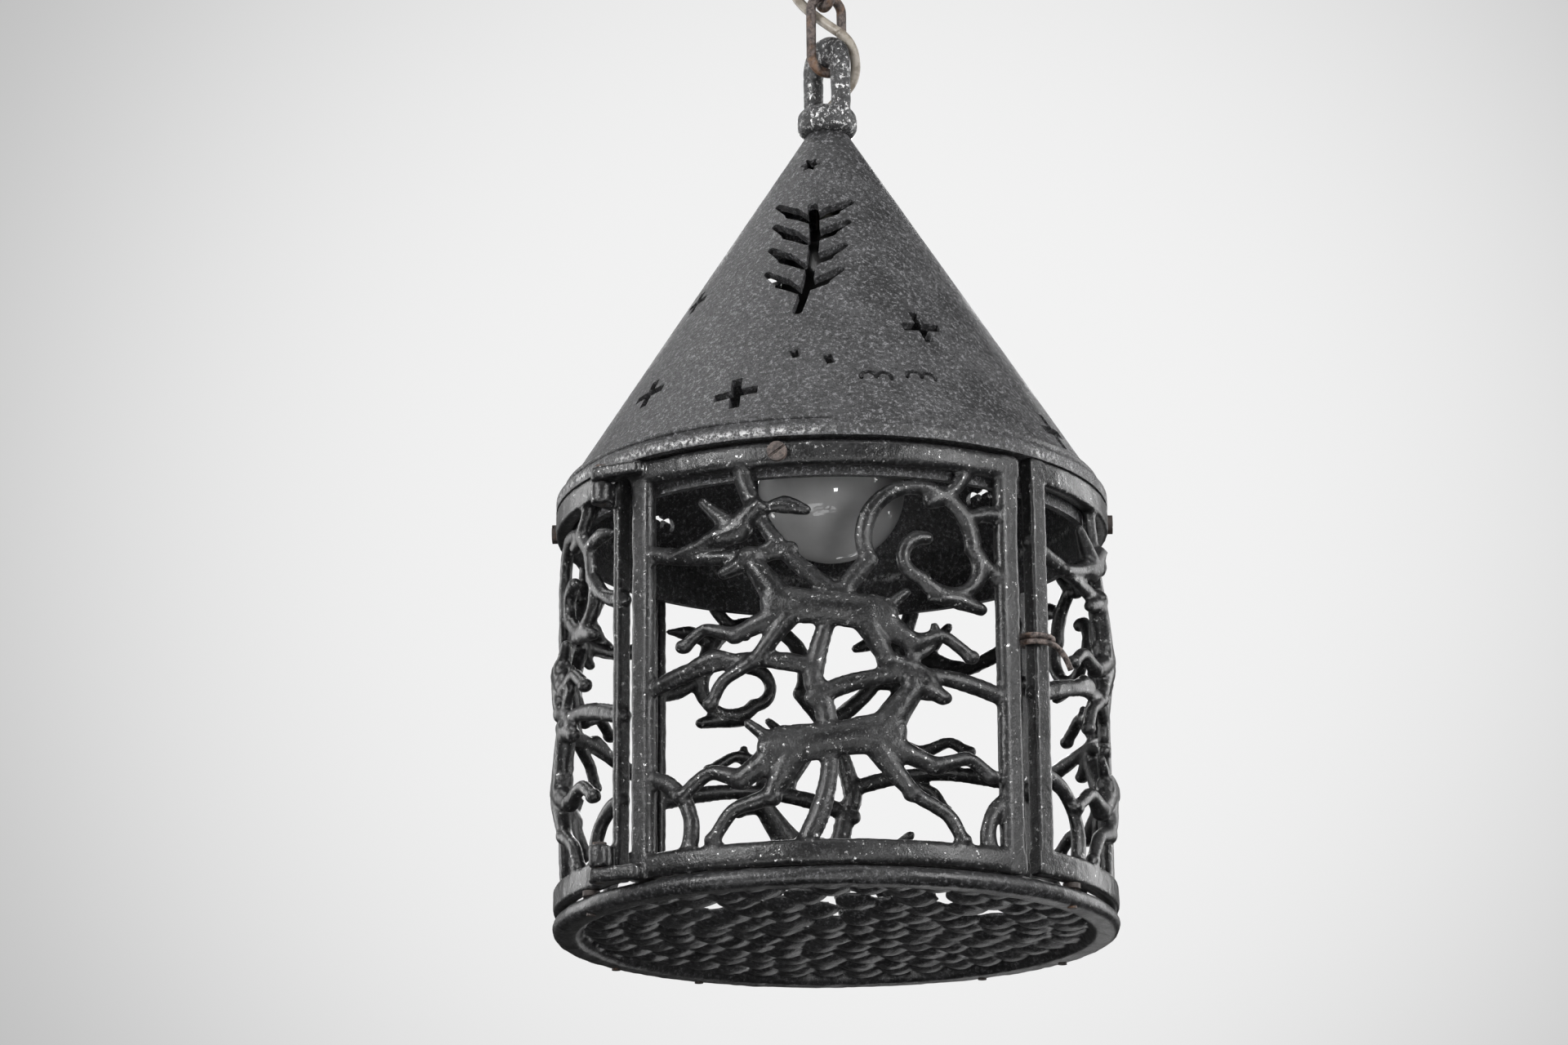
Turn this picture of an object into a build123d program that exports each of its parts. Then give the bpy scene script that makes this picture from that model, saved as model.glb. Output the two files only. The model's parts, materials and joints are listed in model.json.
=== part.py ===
"""Hanging cast-iron lantern: conical roof, openwork drum with a hinged door, grille base and chain."""
import os
from math import acos, atan2, cos, degrees, hypot, pi, radians, sin, tan

from build123d import *

os.makedirs("parts", exist_ok=True)

# Fits
running_clearance = 0.05
seat_gap = 0.4
link_play = 0.6

# Ceiling plate and hook
plate_radius = 32.0
plate_thickness = 5.0
plate_edge_round = 1.5
plate_screw_spacing = 44.0
plate_screw_hole_radius = 2.25
hook_wire = 4.5
hook_bend_radius = 7.5
hook_shank = 13.0
hook_tip = 4.0
hook_seat_depth = 4.0

# Chain of two links
link_wire = 4.1
link_width = 18.1
link_length = 39.0
lower_link_yaw = 25.0
upper_link_yaw = lower_link_yaw + 90.0

# Cast eye and its collar
eye_yaw = -50.0
eye_thickness = 7.6
eye_leg = 8.4
eye_hole_width = 9.8
eye_hole_height = 20.0
eye_crown = 13.0
eye_round = 3.5
collar_radius = 12.6
collar_height = 12.0
collar_round = 4.6

# Supply cable and the threaded tube it runs through
cable_diameter = 4.2
cable_bore_clearance = 0.3
cable_mouth = 1.6
cable_corner_share = 0.45
tube_radius = 5.0
tube_bore = 3.2
tube_in_collar = 8.0
tube_in_cap = 8.0
nut_across_flats = 15.0
nut_height = 4.0
grommet_flange = 1.8
grommet_wall = 1.6

# Roof
roof_height = 161.0
roof_top_radius = 9.0
roof_eave_radius = 110.5
roof_wall = 3.4
roof_boss_height = 12.0
lip_radius = 112.0
lip_height = 4.6
eave_bead_radius = 1.3
eave_bead_rise = 4.2
skirt_depth = 14.0
skirt_wall = 3.0
cut_reach = 10.0
cross_turn = 8.0
chip_turn = 20.0
chip_stretch = 1.5

# Drum of four cast panels; angles run from the front of the lantern to its right
drum_radius = 112.0
drum_wall = 6.6
drum_height = 165.0
panel_pitch = 90.0
panel_seam = 0.5
fixed_rail = 10.0
fixed_stile = 4.0
latch_stile = 8.0
door_jamb_left = 46.6
door_jamb_right = 45.0

# Door
door_angle_left = 43.5
door_angle_right = 41.6
door_head_gap = 1.6
door_sill_gap = 0.5
door_rail = 9.6
door_stile = 10.0
bar_round = 1.3
door_round = 2.6

# Hinge at the left of the door
hinge_angle = 48.5
hinge_radius = 117.6
hinge_boss_radius = 4.3
hinge_pin_radius = 1.9
hinge_pin_head = 0.8
lug_height = 5.6
lug_root_angle = 40.5
lug_root_radius = 2.2
knuckle_height = 9.0
knuckle_root_angle = 50.0
knuckle_root_radius = 2.6

# Openwork of the panels
branch_inset = 1.2
joint_draw_in = 0.85
figure_relief = 1.2
swell_relief = 0.8

# Screws of the panels, slotted cheese heads
screw_radius = 2.0
screw_head_radius = 3.85
screw_head_height = 2.0
screw_slot_width = 1.0
screw_slot_depth = 0.9
screw_slot_turn = 35.0
door_screw_angle = -9.5
door_screw_drop = 4.8

# Wire latch on the right jamb
latch_wire = 2.4
latch_loop_clearance = 0.4
latch_height = 92.0
latch_ring_start = 90.0
latch_ring_turn = 345.0
latch_tail = 13.0
latch_tail_straight = 8.7
latch_tail_drop = 9.0
latch_bend = 3.0

# Base casting
base_radius = 112.6
base_band = 12.6
base_height = 7.6
base_round = 3.4
stud_gap = 2.0
stud_radius = 3.4
stud_shank_radius = 1.8
stud_depth = 5.0
stud_inset_angle = 12.0
grille_thickness = 3.0
grille_recess = 3.0
grille_rows = 5
scale_overlap = 1.14
scale_step = 1.0
row_twist = 17.0

# Lampholder and bulb
holder_cap_radius = 19.0
holder_cap_height = 22.0
holder_cap_neck = 8.0
holder_cap_side = 7.3
holder_radius = 20.0
holder_height = 40.0
holder_wall = 2.4
core_height = 14.0
sleeve_length = 22.5
bulb_drop = 18.5
bulb_radius = 30.0
bulb_length = 105.0
bulb_shoulder = 35.0
bulb_cap_radius = 13.2
bulb_cap_length = 26.0
bulb_cap_wall = 0.8
bulb_neck_radius = 12.3
bulb_neck_length = 8.7
bulb_glass_wall = 1.2
bulb_contact_radius = 4.6
bulb_contact_height = 3.0
bulb_contact_taper = 20.0

# Heights, counted down from the ceiling
plate_under = -plate_thickness
hook_wire_z = plate_under - hook_shank - hook_bend_radius
link_pitch = link_length - link_wire
upper_link_top = hook_wire_z + hook_wire / 2 + link_wire / 2 + link_play
upper_link_bottom = upper_link_top - link_pitch
lower_link_top = upper_link_bottom + link_wire + link_play
lower_link_bottom = lower_link_top - link_pitch
eye_hole_top = lower_link_bottom + link_wire / 2 + link_play
collar_top = eye_hole_top - eye_hole_height
roof_top = collar_top - collar_height
eave_top = roof_top - roof_height
roof_under = eave_top - lip_height
drum_bottom = roof_under - drum_height
base_top = drum_bottom - stud_gap
base_under = base_top - base_height
door_top = roof_under - door_head_gap
door_bottom = base_top + door_sill_gap
bulb_bottom = roof_under - bulb_drop

# Radii that follow from the wall thicknesses
drum_inner = drum_radius - drum_wall
drum_middle = drum_radius - drum_wall / 2
skirt_outer = drum_inner - seat_gap
skirt_inner = skirt_outer - skirt_wall
roof_slope = (roof_eave_radius - roof_top_radius) / roof_height
roof_half_angle = degrees(atan2(roof_eave_radius - roof_top_radius, roof_height))


def outward(angle, radius=1.0):
    """Point at a radius and at an angle from the front of the lantern to its right."""
    return Vector(radius * sin(radians(angle)), -radius * cos(radians(angle)), 0)


def level(point, height):
    """The same point at a height."""
    return Vector(point.X, point.Y, height)


def radial_plane(angle):
    """Upright plane through the axis: its x runs outward and its y runs up."""
    x_dir = outward(angle)
    return Plane(origin=(0, 0, 0), x_dir=x_dir, z_dir=(x_dir.Y, -x_dir.X, 0))


def facing_plane(angle, radius, height):
    """Upright plane that faces outward: its x runs to the right seen from outside and its y runs up."""
    origin = level(outward(angle, radius), height)
    return Plane(origin=origin, x_dir=outward(angle + 90), z_dir=outward(angle))


def yaw_plane(yaw, height, shift=0.0):
    """Upright plane turned about the axis: its x runs along the yaw and its y runs up."""
    x_dir = Vector(cos(radians(yaw)), sin(radians(yaw)), 0)
    return Plane(origin=level(x_dir * shift, height), x_dir=x_dir, z_dir=(x_dir.Y, -x_dir.X, 0))


def roof_radius(height):
    """Radius of the roof's outer face at a height."""
    return roof_top_radius + (roof_top - height) * roof_slope


def arc_degrees(length, radius):
    """Angle that an arc length takes on a radius."""
    return degrees(length / radius)


def finish(piece, name):
    """Label a finished piece and write it."""
    piece.label = name
    export_step(piece, f"parts/{name}.step")


# Cable route: hand-chosen points from the ceiling plate, through the lower link, into the collar
cable_points = [
    Vector(-15.0, 13.0, plate_under + 4.0),
    Vector(-15.0, 13.0, plate_under - 13.0),
    Vector(-15.5, 11.0, upper_link_top - 17.0),
    Vector(-12.5, 7.5, lower_link_top + 1.0),
    Vector(-0.6, -0.8, lower_link_top - 12.6),
    Vector(10.8, -3.6, lower_link_bottom + 13.0),
    Vector(12.9, 1.6, lower_link_bottom - 0.5),
    Vector(6.2, 4.4, collar_top + 8.0),
    Vector(0.0, 0.0, collar_top + 1.0),
    Vector(0.0, 0.0, collar_top - 6.0),
]
cable_splits = (2, 4)

# Side view of a leaping deer: x and y along each stroke and the stroke's half width there,
# and the swellings of its haunch, shoulder, brow and joints by their place and radius
deer_strokes = [
    [(-24, 0, 9), (-4, 2, 7.5), (16, 5, 9)],
    [(17, 8, 7), (28, 24, 4.6)],
    [(28, 26, 4.8), (41, 21, 2.8)],
    [(25, 29, 2.2), (16, 35, 1.7)],
    [(17, 0, 5.5), (36, -8, 3.4), (50, -3, 2.8), (59, -10, 2.8)],
    [(13, -2, 5), (27, -20, 3.2), (42, -28, 2.8), (47, -38, 2.8)],
    [(-26, -2, 7), (-42, -13, 4), (-55, -8, 3), (-67, -17, 2.8)],
    [(-22, -4, 6.5), (-30, -21, 3.8), (-46, -25, 3), (-54, -37, 2.8)],
    [(-32, 4, 3), (-39, 10, 2.2)],
]
antler_strokes = [
    [(29, 30, 2.3), (27, 41, 2.1), (18, 50, 1.8)],
    [(28, 36, 2.1), (36, 42, 1.9), (37, 51, 1.8)],
]
deer_swells = [
    (-25, -1, 8.2),
    (14, 3, 7.6),
    (29, 26, 3.6),
    (36, -8, 2.6),
    (27, -20, 2.6),
    (-42, -13, 3.2),
    (-30, -21, 3.0),
]
bird_strokes = [
    [(-8, -4, 3.4), (4, 0, 6.2)],
    [(4, 1, 5.4), (12, 8, 4.2)],
    [(12, 8, 3), (18, 7, 1.4)],
    [(-6, -4, 3.2), (-22, -8, 2.4)],
    [(0, 3, 4), (-10, 13, 2)],
]
leaf_strokes = [[(0, 0, 2.4), (9, 3, 4.4), (19, 2, 1.4)]]

# Places of the figures over the sill: x, y, facing (1 is to the right) and size
stag_place = (6, 36, 1, 0.92)
hind_place = (-4, 87, -1, 0.86)
bird_place = (-38, 122, 1, 0.95)
leaf_places = [(58, 92, -1, 1.0), (-52, 70, 1, 0.9), (54, 128, 1, 0.9), (-8, 128, -1, 0.9)]

# Branches over the sill: the start, middle and end of each arc and its width
branch_arcs = [
    ((-12, -5), (0, 26), (-6, 62), 8.0),
    ((-6, 60), (0, 84), (16, 108), 7.4),
    ((16, 108), (36, 138), (56, 116), 6.8),
    ((56, 116), (52, 98), (36, 102), 6.2),
    ((36, 102), (29, 111), (38, 118), 5.6),
    ((6, 94), (-16, 112), (-34, 150), 6.8),
    ((-14, 113), (-44, 112), (-80, 124), 6.2),
    ((-5, 66), (-44, 70), (-80, 58), 6.8),
    ((-6, 54), (34, 64), (80, 52), 6.8),
    ((56, 116), (68, 104), (80, 100), 6.2),
    ((40, 133), (50, 140), (54, 150), 6.2),
    ((-80, 30), (-62, 26), (-56, -5), 6.2),
    ((80, 22), (66, 18), (62, -5), 6.2),
]

# Cut-outs of the roof: angle and distance down the slope from its top, and a size
cross_places = [
    (-20.9, 168, 9.0),
    (-50.9, 154, 8.0),
    (-60.0, 98, 6.5),
    (29.3, 127, 9.0),
    (62, 172, 9.0),
    (118, 160, 9.0),
    (158, 120, 9.0),
    (-118, 165, 9.0),
    (-150, 140, 9.0),
    (-172, 170, 11.0),
]
star_places = [(-19.4, 23, 4.6), (100, 60, 4.6), (-140, 60, 4.6)]
chip_places = [(-8.0, 147, 3.2), (0.8, 151, 3.6), (80, 140, 3.6), (-95, 140, 3.6)]
bird_mark_places = [(11.9, 160, 6.0), (23.3, 158, 6.0), (138, 160, 6.0), (-132, 172, 6.0)]
sprig_places = [(-9.0, 78), (171.0, 78)]

# Sprig on its own plane: a stem and pairs of leaves up it
sprig_stem = ((0, -42), (3, -8), (0, 26), 4.4)
sprig_leaf_heights = (-30, -14, 2, 16)
sprig_leaf = [[(0, 0, 2.0), (8, 7, 3.4), (15, 15, 1.5)]]


def taper_face(start, start_radius, end, end_radius):
    """Flat bar between two circles: their outer tangents and the far arcs."""
    along = end - start
    heading = degrees(atan2(along.Y, along.X))
    spread = degrees(acos((start_radius - end_radius) / along.length))

    def rim(centre, radius, angle):
        return centre + Vector(radius, 0).rotate(Axis.Z, angle)

    start_left = rim(start, start_radius, heading + spread)
    start_right = rim(start, start_radius, heading - spread)
    end_left = rim(end, end_radius, heading + spread)
    end_right = rim(end, end_radius, heading - spread)
    return Face(
        Wire(
            [
                Edge.make_line(start_right, end_right),
                Edge.make_three_point_arc(end_right, rim(end, end_radius, heading), end_left),
                Edge.make_line(end_left, start_left),
                Edge.make_three_point_arc(start_left, rim(start, start_radius, heading + 180), start_right),
            ]
        )
    )


def stroke_faces(strokes, place):
    """Tapered bars along each stroke of a figure; a bar starts a little inside the last one's round end."""
    x, y, facing, size = place
    faces = []
    for stroke in strokes:
        for (x0, y0, r0), (x1, y1, r1) in zip(stroke, stroke[1:]):
            start = Vector(x + facing * size * x0, y + size * y0)
            end = Vector(x + facing * size * x1, y + size * y1)
            faces.append(taper_face(start, size * r0 * joint_draw_in, end, size * r1))
    return faces


def arc_slots(arcs):
    """Round-ended slots along arcs, each by its start, middle, end and width."""
    return [
        SlotArc(Edge.make_three_point_arc(start, middle, end), width, mode=Mode.PRIVATE)
        for start, middle, end, width in arcs
    ]


# Flat drawing of the branches and leaves
with BuildSketch() as branch_sketch:
    add(arc_slots(branch_arcs))
    for place in leaf_places:
        add(stroke_faces(leaf_strokes, place))

# Flat drawing of the animals
with BuildSketch() as figure_sketch:
    add(stroke_faces(deer_strokes + antler_strokes, stag_place))
    add(stroke_faces(deer_strokes, hind_place))
    add(stroke_faces(bird_strokes, bird_place))

# Flat drawing of the animals' swellings
with BuildSketch() as swell_sketch:
    for x, y, facing, size in (stag_place, hind_place):
        for swell_x, swell_y, radius in deer_swells:
            with Locations((x + facing * size * swell_x, y + size * swell_y)):
                Circle(size * radius)


def openwork(start, end, sill, height):
    """Branches and figures drawn out of the mould along the panel's middle, cut to the drum's curve."""
    layers = (
        (branch_sketch, drum_inner + branch_inset, drum_radius - branch_inset),
        (figure_sketch, drum_inner, drum_radius + figure_relief),
        (swell_sketch, drum_middle, drum_radius + figure_relief + swell_relief),
    )
    pieces = []
    for drawing, inner, outer in layers:
        with BuildPart() as layer:
            with BuildSketch(radial_plane(start)):
                with Locations(((inner + outer) / 2, sill + height / 2)):
                    Rectangle(outer - inner, height + fixed_rail)
            revolve(axis=Axis.Z, revolution_arc=end - start)
            with BuildSketch(facing_plane(0, 0, sill)):
                add(drawing.sketch)
            extrude(amount=2 * drum_radius, mode=Mode.INTERSECT)
        pieces.append(layer.part)
    return pieces


def add_rail(start, end, bottom, top, rounding):
    """Curved bar of a frame between two angles."""
    with BuildSketch(radial_plane(start)) as section:
        with Locations((drum_middle, (bottom + top) / 2)):
            RectangleRounded(drum_wall, top - bottom, rounding)
    revolve(section.sketch, axis=Axis.Z, revolution_arc=end - start)


def add_stile(angle, width, bottom, top, rounding):
    """Upright bar of a frame at an angle."""
    foot = Plane(level(outward(angle, drum_middle), bottom), x_dir=outward(angle + 90), z_dir=(0, 0, 1))
    with BuildSketch(foot) as section:
        RectangleRounded(width, drum_wall, rounding)
    extrude(section.sketch, amount=top - bottom)


def add_arm(angle_root, radius_root, root_radius, bottom, top):
    """Flat arm from the hinge axis to its root on the frame, with a round boss at the axis."""
    boss = outward(-hinge_angle, hinge_radius)
    root = outward(-angle_root, radius_root)
    with BuildSketch(Plane.XY.offset(bottom)) as outline:
        add(taper_face(boss, hinge_boss_radius, root, root_radius))
    extrude(outline.sketch, amount=top - bottom)


def drill_hinge(bottom, top):
    """Bore for the hinge pin between two heights."""
    with BuildSketch(Plane(level(outward(-hinge_angle, hinge_radius), bottom))) as bore:
        Circle(hinge_pin_radius + running_clearance)
    extrude(bore.sketch, amount=top - bottom, mode=Mode.SUBTRACT)


def drill_screw(angle, height, depth):
    """Screw hole inward from the drum's outer face."""
    with BuildSketch(facing_plane(angle, drum_radius + figure_relief, height)) as bore:
        Circle(screw_radius + running_clearance)
    extrude(bore.sketch, amount=-depth - figure_relief, mode=Mode.SUBTRACT)


def spot_face(angle, height):
    """Flat seat for a screw head on the drum's outer face."""
    with BuildSketch(facing_plane(angle, drum_radius, height)) as seat:
        Circle(screw_head_radius + seat_gap)
    extrude(seat.sketch, amount=screw_head_height + figure_relief, mode=Mode.SUBTRACT)


# Angles of the panels and of what fastens them
quarter = panel_pitch / 2
seam_angle = arc_degrees(panel_seam / 2, drum_radius)
left_span = (-panel_pitch - quarter + seam_angle, -door_jamb_left)
right_span = (door_jamb_right, panel_pitch + quarter - seam_angle)
back_span = (panel_pitch + quarter + seam_angle, 3 * panel_pitch - quarter - seam_angle)
fixed_spans = (left_span, back_span, right_span)
fixed_sill = drum_bottom + fixed_rail
fixed_head = roof_under - fixed_rail
fixed_screw_height = roof_under - fixed_rail / 2
shortest_span = min(end - start for start, end in fixed_spans)
fixed_half = shortest_span / 2 - arc_degrees(fixed_stile / 2, drum_radius)
stud_angles = [start + stud_inset_angle for start, end in fixed_spans]
stud_angles += [end - stud_inset_angle for start, end in fixed_spans]
screw_depth = drum_wall + seat_gap + skirt_wall
door_span = (-door_angle_left, door_angle_right)
door_sill = door_bottom + door_rail
door_head = door_top - door_rail
door_screw_height = door_top - door_screw_drop
upper_knuckle_top = door_top - lug_height - seat_gap
lower_knuckle_bottom = door_bottom + lug_height + seat_gap
fixed_openwork = openwork(-fixed_half, fixed_half, fixed_sill, fixed_head - fixed_sill)
door_stile_half = arc_degrees(door_stile / 2, drum_middle)
door_openwork = openwork(
    door_span[0] + door_stile_half, door_span[1] - door_stile_half, door_sill, door_head - door_sill
)


def add_fixed_frame(span, start_stile=fixed_stile):
    """Openwork, rails, stiles and holes of one fixed panel between two angles."""
    start, end = span
    middle = (start + end) / 2
    add_rail(start, end, drum_bottom, fixed_sill, bar_round)
    add_rail(start, end, fixed_head, roof_under, bar_round)
    for edge, width, inward in ((start, start_stile, 1), (end, fixed_stile, -1)):
        angle = edge + inward * arc_degrees(width / 2, drum_middle)
        add_stile(angle, width, drum_bottom, roof_under, bar_round)
    add(fixed_openwork, rotation=(0, 0, middle))
    spot_face(middle, fixed_screw_height)
    drill_screw(middle, fixed_screw_height, screw_depth)
    for angle in (start + stud_inset_angle, end - stud_inset_angle):
        with BuildSketch(Plane(level(outward(angle, drum_middle), drum_bottom))) as bore:
            Circle(stud_shank_radius + running_clearance)
        extrude(bore.sketch, amount=stud_depth, mode=Mode.SUBTRACT)


# Left panel, which carries the two hinge knuckles
with BuildPart() as left_panel:
    add_fixed_frame(left_span)
    for bottom in (upper_knuckle_top - knuckle_height, lower_knuckle_bottom):
        add_arm(knuckle_root_angle, drum_middle, knuckle_root_radius, bottom, bottom + knuckle_height)
        drill_hinge(bottom, bottom + knuckle_height)
finish(left_panel.part, "left_panel")

# Back panel
with BuildPart() as back_panel:
    add_fixed_frame(back_span)
finish(back_panel.part, "back_panel")

# Right panel, which carries the wire latch
with BuildPart() as right_panel:
    add_fixed_frame(right_span, latch_stile)
finish(right_panel.part, "right_panel")

# Door panel with the two hinge lugs
with BuildPart() as door_panel:
    add_rail(*door_span, door_bottom, door_sill, door_round)
    add_rail(*door_span, door_head, door_top, door_round)
    for angle in (door_span[0] + door_stile_half, door_span[1] - door_stile_half):
        add_stile(angle, door_stile, door_bottom, door_top, door_round)
    add(door_openwork)
    spot_face(door_screw_angle, door_screw_height)
    drill_screw(door_screw_angle, door_screw_height, screw_depth)
    for bottom in (door_bottom, door_top - lug_height):
        top = bottom + lug_height
        add_arm(lug_root_angle, drum_radius + lug_root_radius, lug_root_radius + seat_gap, bottom, top)
        drill_hinge(bottom, top)
finish(door_panel.part, "door_panel")

# Hinge pins: each stands in its lug and runs through the knuckle
for name, low, high in (
    ("hinge_pin_upper", upper_knuckle_top - knuckle_height, door_top),
    ("hinge_pin_lower", door_bottom, lower_knuckle_bottom + knuckle_height),
):
    with BuildPart() as hinge_pin:
        with BuildSketch(Plane(level(outward(-hinge_angle, hinge_radius), low))):
            Circle(hinge_pin_radius)
        extrude(amount=high - low)
        with BuildSketch(Plane(level(outward(-hinge_angle, hinge_radius), high))):
            Circle(hinge_pin_radius + hinge_pin_head)
        extrude(amount=hinge_pin_head)
    finish(hinge_pin.part, name)


def add_screw(angle, height, shank):
    """Slotted cheese-head screw, its head on the drum's outer face."""
    with BuildSketch(facing_plane(angle, drum_radius, height)) as head:
        Circle(screw_head_radius)
    extrude(head.sketch, amount=screw_head_height)
    with BuildSketch(facing_plane(angle, drum_radius, height)) as shaft:
        Circle(screw_radius)
    extrude(shaft.sketch, amount=-shank)
    with BuildSketch(facing_plane(angle, drum_radius + screw_head_height, height)) as slot:
        Rectangle(3 * screw_head_radius, screw_slot_width, rotation=screw_slot_turn)
    extrude(slot.sketch, amount=-screw_slot_depth, mode=Mode.SUBTRACT)


# Screw of the door's head rail
with BuildPart() as door_screw:
    add_screw(door_screw_angle, door_screw_height, drum_wall)
finish(door_screw.part, "door_screw")

# Screws that hold the fixed panels to the roof's skirt
with BuildPart() as panel_screws:
    for start, end in fixed_spans:
        add_screw((start + end) / 2, fixed_screw_height, screw_depth)
finish(panel_screws.part, "panel_screws")


def add_wire(path, diameter):
    """Round wire along a path."""
    with BuildSketch(Plane(path @ 0, z_dir=path % 0)) as section:
        Circle(diameter / 2)
    sweep(section.sketch, path=path)


# Wire latch: a ring round the right jamb, a tip in the gap and a tail along the panel
jamb_angle = door_jamb_right + arc_degrees(latch_stile / 2, drum_middle)
latch_z = drum_bottom + latch_height
jamb_reach = hypot(latch_stile / 2 - bar_round, drum_wall / 2 - bar_round) + bar_round
latch_ring = jamb_reach + latch_loop_clearance + latch_wire / 2
with BuildPart() as latch_hook:
    ring_centre = level(outward(jamb_angle, drum_middle), latch_z)
    ring_plane = Plane(ring_centre, x_dir=outward(jamb_angle + 90), z_dir=(0, 0, 1))
    with BuildLine(ring_plane):
        ring_line = CenterArc((0, 0), latch_ring, latch_ring_start, latch_ring_turn)
    add_wire(ring_line, latch_wire)
    with BuildLine(ring_plane):
        tail_line = FilletPolyline(
            (0, -latch_ring, 0),
            (latch_tail_straight, -latch_ring, 0),
            (latch_tail, -latch_ring, -latch_tail_drop),
            radius=latch_bend,
        )
    add_wire(tail_line, latch_wire)
finish(latch_hook.part, "latch_hook")


def roof_plane(angle, slope_length):
    """Plane on the roof's outer face: its x runs to the right and its y runs up the slope."""
    height = roof_top - slope_length * cos(radians(roof_half_angle))
    across = outward(angle) * cos(radians(roof_half_angle))
    normal = Vector(across.X, across.Y, sin(radians(roof_half_angle)))
    origin = level(outward(angle, roof_radius(height)), height)
    return Plane(origin=origin, x_dir=outward(angle + 90), z_dir=normal)


def pierce_roof():
    """Cut the drawing on the last plane through the roof's wall."""
    extrude(amount=cut_reach, both=True, mode=Mode.SUBTRACT)


# Roof: cone with an eave bead and lip, a top boss, an inner skirt and pierced figures
wall_across = roof_wall / cos(radians(roof_half_angle))
boss_under = roof_top - roof_boss_height
skirt_meets_roof = roof_top - (skirt_inner + wall_across - roof_top_radius) / roof_slope
with BuildPart() as roof_cone:
    with BuildSketch(Plane.XZ):
        with BuildLine():
            Polyline(
                (tube_radius + running_clearance, boss_under),
                (tube_radius + running_clearance, roof_top),
                (roof_top_radius, roof_top),
                (roof_eave_radius, eave_top),
                (lip_radius, eave_top),
                (lip_radius, roof_under),
                (skirt_outer, roof_under),
                (skirt_outer, roof_under - skirt_depth),
                (skirt_inner, roof_under - skirt_depth),
                (skirt_inner, skirt_meets_roof),
                (roof_radius(boss_under) - wall_across, boss_under),
                close=True,
            )
        make_face()
        with Locations((roof_radius(eave_top + eave_bead_rise), eave_top + eave_bead_rise)):
            Circle(eave_bead_radius)
    revolve(axis=Axis.Z)
    for angle, slope_length, size in cross_places:
        with BuildSketch(roof_plane(angle, slope_length)):
            Rectangle(2 * size, size / 2, rotation=cross_turn)
            Rectangle(size / 2, 2 * size, rotation=cross_turn)
        pierce_roof()
    for angle, slope_length, size in star_places:
        with BuildSketch(roof_plane(angle, slope_length)):
            RegularPolygon(size, 3)
            RegularPolygon(size, 3, rotation=180)
        pierce_roof()
    for angle, slope_length, size in chip_places:
        with BuildSketch(roof_plane(angle, slope_length)):
            Rectangle(size, chip_stretch * size, rotation=chip_turn)
        pierce_roof()
    for angle, slope_length, size in bird_mark_places:
        with BuildSketch(roof_plane(angle, slope_length)):
            add(
                arc_slots(
                    [
                        ((-size, -size / 3), (-size / 2, size / 4), (0, -size / 4), size / 3),
                        ((0, -size / 4), (size / 2, size / 4), (size, -size / 3), size / 3),
                    ]
                )
            )
        pierce_roof()
    for angle, slope_length in sprig_places:
        with BuildSketch(roof_plane(angle, slope_length)):
            add(arc_slots([sprig_stem]))
            for leaf_height in sprig_leaf_heights:
                for facing in (-1, 1):
                    add(stroke_faces(sprig_leaf, (0, leaf_height, facing, 1)))
        pierce_roof()
    for start, end in fixed_spans:
        drill_screw((start + end) / 2, fixed_screw_height, screw_depth + skirt_wall)
finish(roof_cone.part, "roof_cone")

# Base: rounded band with a grille of overlapping scales
grille_radius = base_radius - base_band
scale_pitch = grille_radius / grille_rows
with BuildPart() as base_grille:
    with BuildSketch(Plane.XZ):
        with Locations((base_radius - base_band / 2, (base_under + base_top) / 2)):
            RectangleRounded(base_band, base_height, base_round)
    revolve(axis=Axis.Z)
    for row in range(grille_rows):
        row_radius = (row + 0.5) * scale_pitch
        row_count = round(2 * pi * row_radius / scale_pitch)
        with BuildSketch(Plane.XY.offset(base_under + grille_recess + row % 2 * scale_step)):
            with PolarLocations(row_radius, row_count, start_angle=row_twist * row):
                Circle(scale_pitch / 2 * scale_overlap)
        extrude(amount=grille_thickness)
    for angle in stud_angles:
        with BuildSketch(Plane(level(outward(angle, drum_middle), base_under))):
            Circle(stud_shank_radius + running_clearance)
        extrude(amount=base_height, mode=Mode.SUBTRACT)
finish(base_grille.part, "base_grille")

# Studs that hold the base under the fixed panels
with BuildPart() as base_studs:
    for angle in stud_angles:
        with BuildSketch(Plane(level(outward(angle, drum_middle), base_top))):
            Circle(stud_radius)
        extrude(amount=stud_gap)
        with BuildSketch(Plane(level(outward(angle, drum_middle), base_under))):
            Circle(stud_shank_radius)
        extrude(amount=base_height + stud_gap + stud_depth)
finish(base_studs.part, "base_studs")

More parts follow.
